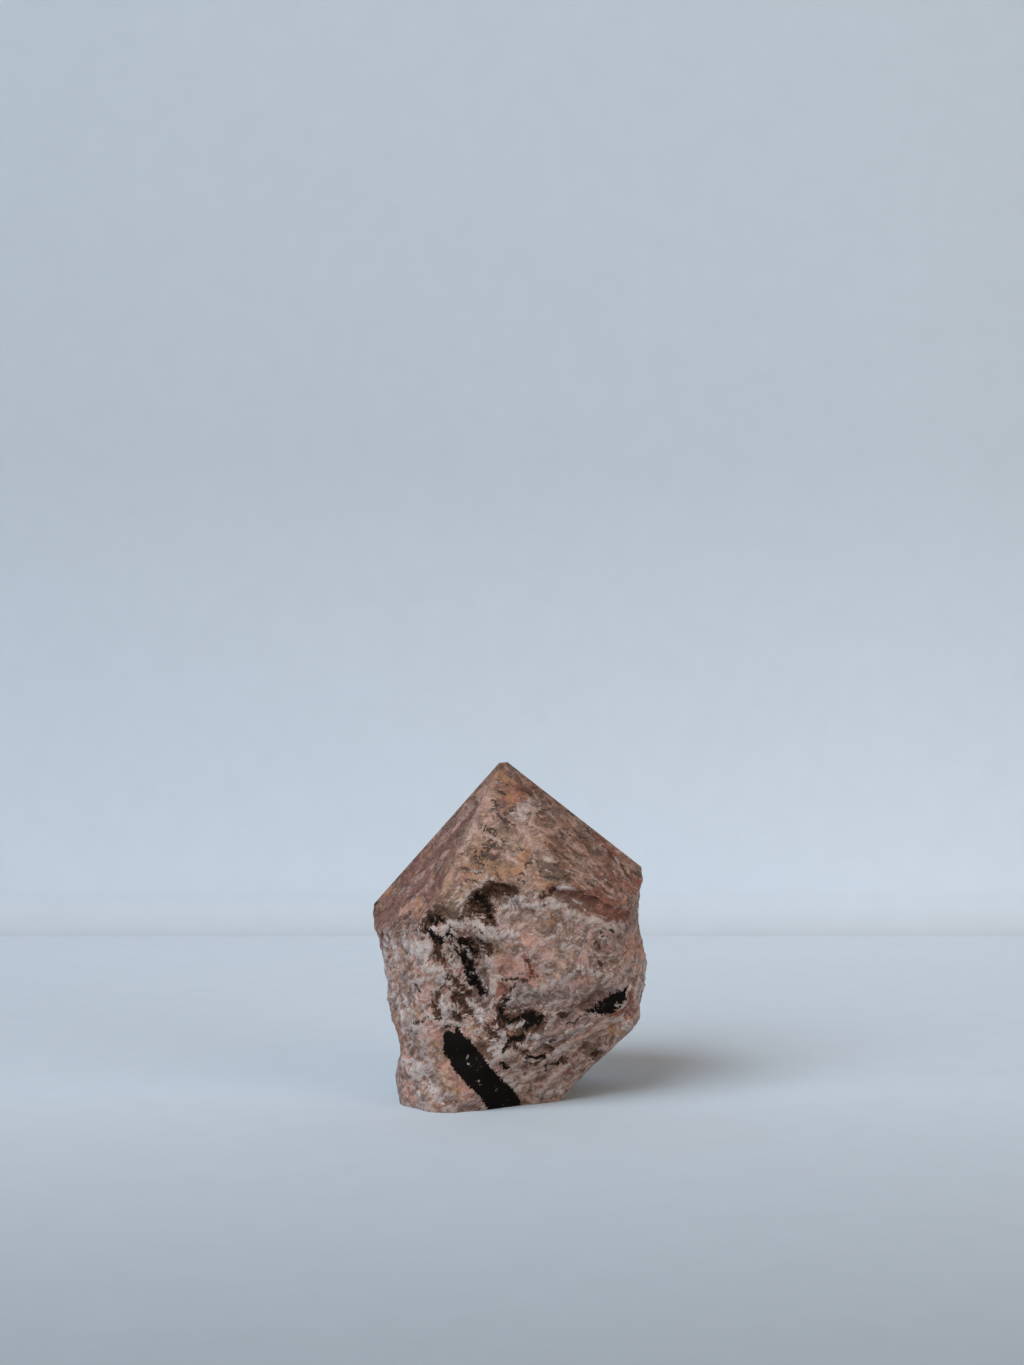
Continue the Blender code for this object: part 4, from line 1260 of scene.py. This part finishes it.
def backdrop_with_painted_shade(name, colour, roughness):
    """A matt material, faintly mottled, with painted shade and light: it darkens towards the front, the left
    and the top of the wall, the wall is darker than the floor, and the floor lightens towards the back.
    """
    material = bpy.data.materials.new(name)
    material.use_nodes = True
    shader = material.node_tree.nodes["Principled BSDF"]
    shader.inputs["Roughness"].default_value = roughness
    shader.inputs["Specular IOR Level"].default_value = 0.2
    w = Wiring(material)
    split = w.tree.nodes.new("ShaderNodeSeparateXYZ")
    w.socket(split.inputs["Vector"], w.place)
    # Painted shade and light on the floor and wall, as gradients in the colour
    near = w.spread(split.outputs["Y"], -160.0, 0.0, 0.54, 0.95)
    far = w.spread(split.outputs["Y"], 20.0, 190.0, 1.0, 1.16)
    bend = w.spread(split.outputs["Z"], 0.0, 0.6, 1.0, 0.82)
    upright = w.product(bend, w.spread(split.outputs["Z"], 5.0, 14.0, 1.0, 1.1))
    high = w.spread(split.outputs["Z"], 20.0, 145.0, 1.0, 0.79)
    mottle = w.spread(w.noise(w.place, 9.0, 5.0, 0.6), 0.3, 0.7, 0.985, 1.015)
    left = w.spread(split.outputs["X"], -140.0, 120.0, 0.90, 1.03)
    painted_light_and_shade = w.product(w.product(mottle, left), w.product(near, far))
    painted_light_and_shade = w.product(painted_light_and_shade, w.product(upright, high))
    w.socket(shader.inputs["Base Color"], w.scaled(colour, painted_light_and_shade))
    return material


def new_object(name, bm, material):
    mesh = bpy.data.meshes.new(name)
    bm.to_mesh(mesh)
    bm.free()
    mesh.materials.append(material)
    made = bpy.data.objects.new(name, mesh)
    bpy.context.scene.collection.objects.link(made)
    return made


class MOONSTONE_OT_stone(bpy.types.Operator):
    """Breaks, grinds and paints the stone"""

    bl_idname = "moonstone.stone"
    bl_label = "Stone"

    def execute(self, context):
        shape = context.scene.moonstone_shape
        noise.seed_set(NOISE_SEED)
        bm, planes = dense_copy(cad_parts[NODE], shape)
        paint_marks(bm)
        break_roughly(bm, planes, shape)
        grind(bm, planes)
        bmesh.ops.triangulate(bm, faces=bm.faces)
        bmesh.ops.scale(bm, verts=bm.verts, vec=(MM, MM, MM))
        stone = new_object("stone", bm, feldspar(context.scene.moonstone_colours))
        stone.data.shade_smooth()
        stone.data.set_sharp_from_angle(angle=math.radians(32.0))
        measure_surface(stone.data, planes)
        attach(stone, BODY)
        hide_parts(NODE)
        print("stone", len(stone.data.polygons), "triangles,", len(planes), "flat faces")
        return {"FINISHED"}


class MOONSTONE_OT_stage(bpy.types.Operator):
    """Sets the floor and wall, the lights and the camera"""

    bl_idname = "moonstone.stage"
    bl_label = "Stage"

    def execute(self, context):
        look = context.scene.moonstone_stage
        self.add_room(look)
        self.add_light("window", (-0.45, -0.58, 0.67), 0.7, look.key, (0.83, 0.955, 1.07))
        self.add_light("fill", (0.62, -0.5, 0.16), 0.4, look.fill, (1.0, 1.0, 0.97))
        self.add_sky(context.scene, look)
        self.add_camera(context.scene)
        context.scene.view_settings.view_transform = "Standard"
        return {"FINISHED"}

    def add_room(self, look):
        """A floor that turns up into a wall behind the stone."""
        bm = bmesh.new()
        bmesh.ops.create_grid(bm, x_segments=1, y_segments=1, size=ROOM_REACH)
        bmesh.ops.translate(bm, verts=bm.verts, vec=(0.0, look.wall_distance - ROOM_REACH, 0.0))
        back = [e for e in bm.edges if all(v.co.y > look.wall_distance - 0.001 for v in e.verts)]
        risen = bmesh.ops.extrude_edge_only(bm, edges=back)["geom"]
        raised = [v for v in risen if isinstance(v, bmesh.types.BMVert)]
        bmesh.ops.translate(bm, verts=raised, vec=(0.0, 0.0, ROOM_REACH))
        low = [v for v in bm.verts if abs(v.co.z) < 1e-6 and v.co.y > look.wall_distance - 0.001]
        bmesh.ops.bevel(
            bm,
            geom=[e for e in bm.edges if all(v in low for v in e.verts)],
            offset=ROOM_CORNER,
            segments=12,
            profile=0.5,
            affect="EDGES",
            material=-1,
        )
        bmesh.ops.recalc_face_normals(bm, faces=bm.faces)
        room = new_object("room", bm, backdrop_with_painted_shade("pale backdrop", look.floor, 0.9))
        room.data.shade_smooth()

    def add_light(self, name, place, size, power, colour):
        lamp = bpy.data.lights.new(name, "AREA")
        lamp.size = size
        lamp.energy = power
        lamp.color = colour
        light = bpy.data.objects.new(name, lamp)
        light.location = place
        light.rotation_euler = (Vector((0.0, 0.0, 0.03)) - light.location).to_track_quat("-Z", "Y").to_euler()
        bpy.context.scene.collection.objects.link(light)

    def add_sky(self, scene, look):
        world = bpy.data.worlds.new("soft light")
        world.use_nodes = True
        background = world.node_tree.nodes["Background"]
        background.inputs["Color"].default_value = (1.78, 0.88, 0.14, 1.0)
        background.inputs["Strength"].default_value = look.sky
        scene.world = world

    def add_camera(self, scene):
        lens = bpy.data.cameras.new("camera")
        lens.sensor_fit = "AUTO"
        lens.sensor_width = SENSOR
        lens.lens = LENS
        lens.clip_start = 0.01
        camera = bpy.data.objects.new("camera", lens)
        camera.location = (0.0, -CAMERA_DISTANCE, CAMERA_HEIGHT)
        camera.rotation_euler = (math.radians(90.0), 0.0, 0.0)
        scene.collection.objects.link(camera)
        scene.camera = camera


class MOONSTONE_PT_panel(bpy.types.Panel):
    """Lists the pieces and their settings"""

    bl_label = "Moonstone Point"
    bl_space_type = "VIEW_3D"
    bl_region_type = "UI"
    bl_category = "Moonstone"

    def draw(self, context):
        for operator, settings in (
            (MOONSTONE_OT_stone, (context.scene.moonstone_shape, context.scene.moonstone_colours)),
            (MOONSTONE_OT_stage, (context.scene.moonstone_stage,)),
        ):
            box = self.layout.box()
            box.operator(operator.bl_idname)
            for group in settings:
                for name in group.__annotations__:
                    box.prop(group, name)


CLASSES = (StoneShape, StoneColours, StageLook, MOONSTONE_OT_stone, MOONSTONE_OT_stage, MOONSTONE_PT_panel)
SETTINGS = {
    "moonstone_shape": StoneShape,
    "moonstone_colours": StoneColours,
    "moonstone_stage": StageLook,
}


def register():
    for cls in CLASSES:
        bpy.utils.register_class(cls)
    for name, group in SETTINGS.items():
        setattr(bpy.types.Scene, name, PointerProperty(type=group))


def unregister():
    for name in SETTINGS:
        delattr(bpy.types.Scene, name)
    for cls in reversed(CLASSES):
        bpy.utils.unregister_class(cls)


def main():
    register()
    bpy.ops.moonstone.stone()
    bpy.ops.moonstone.stage()


if __name__ == "__main__":
    main()
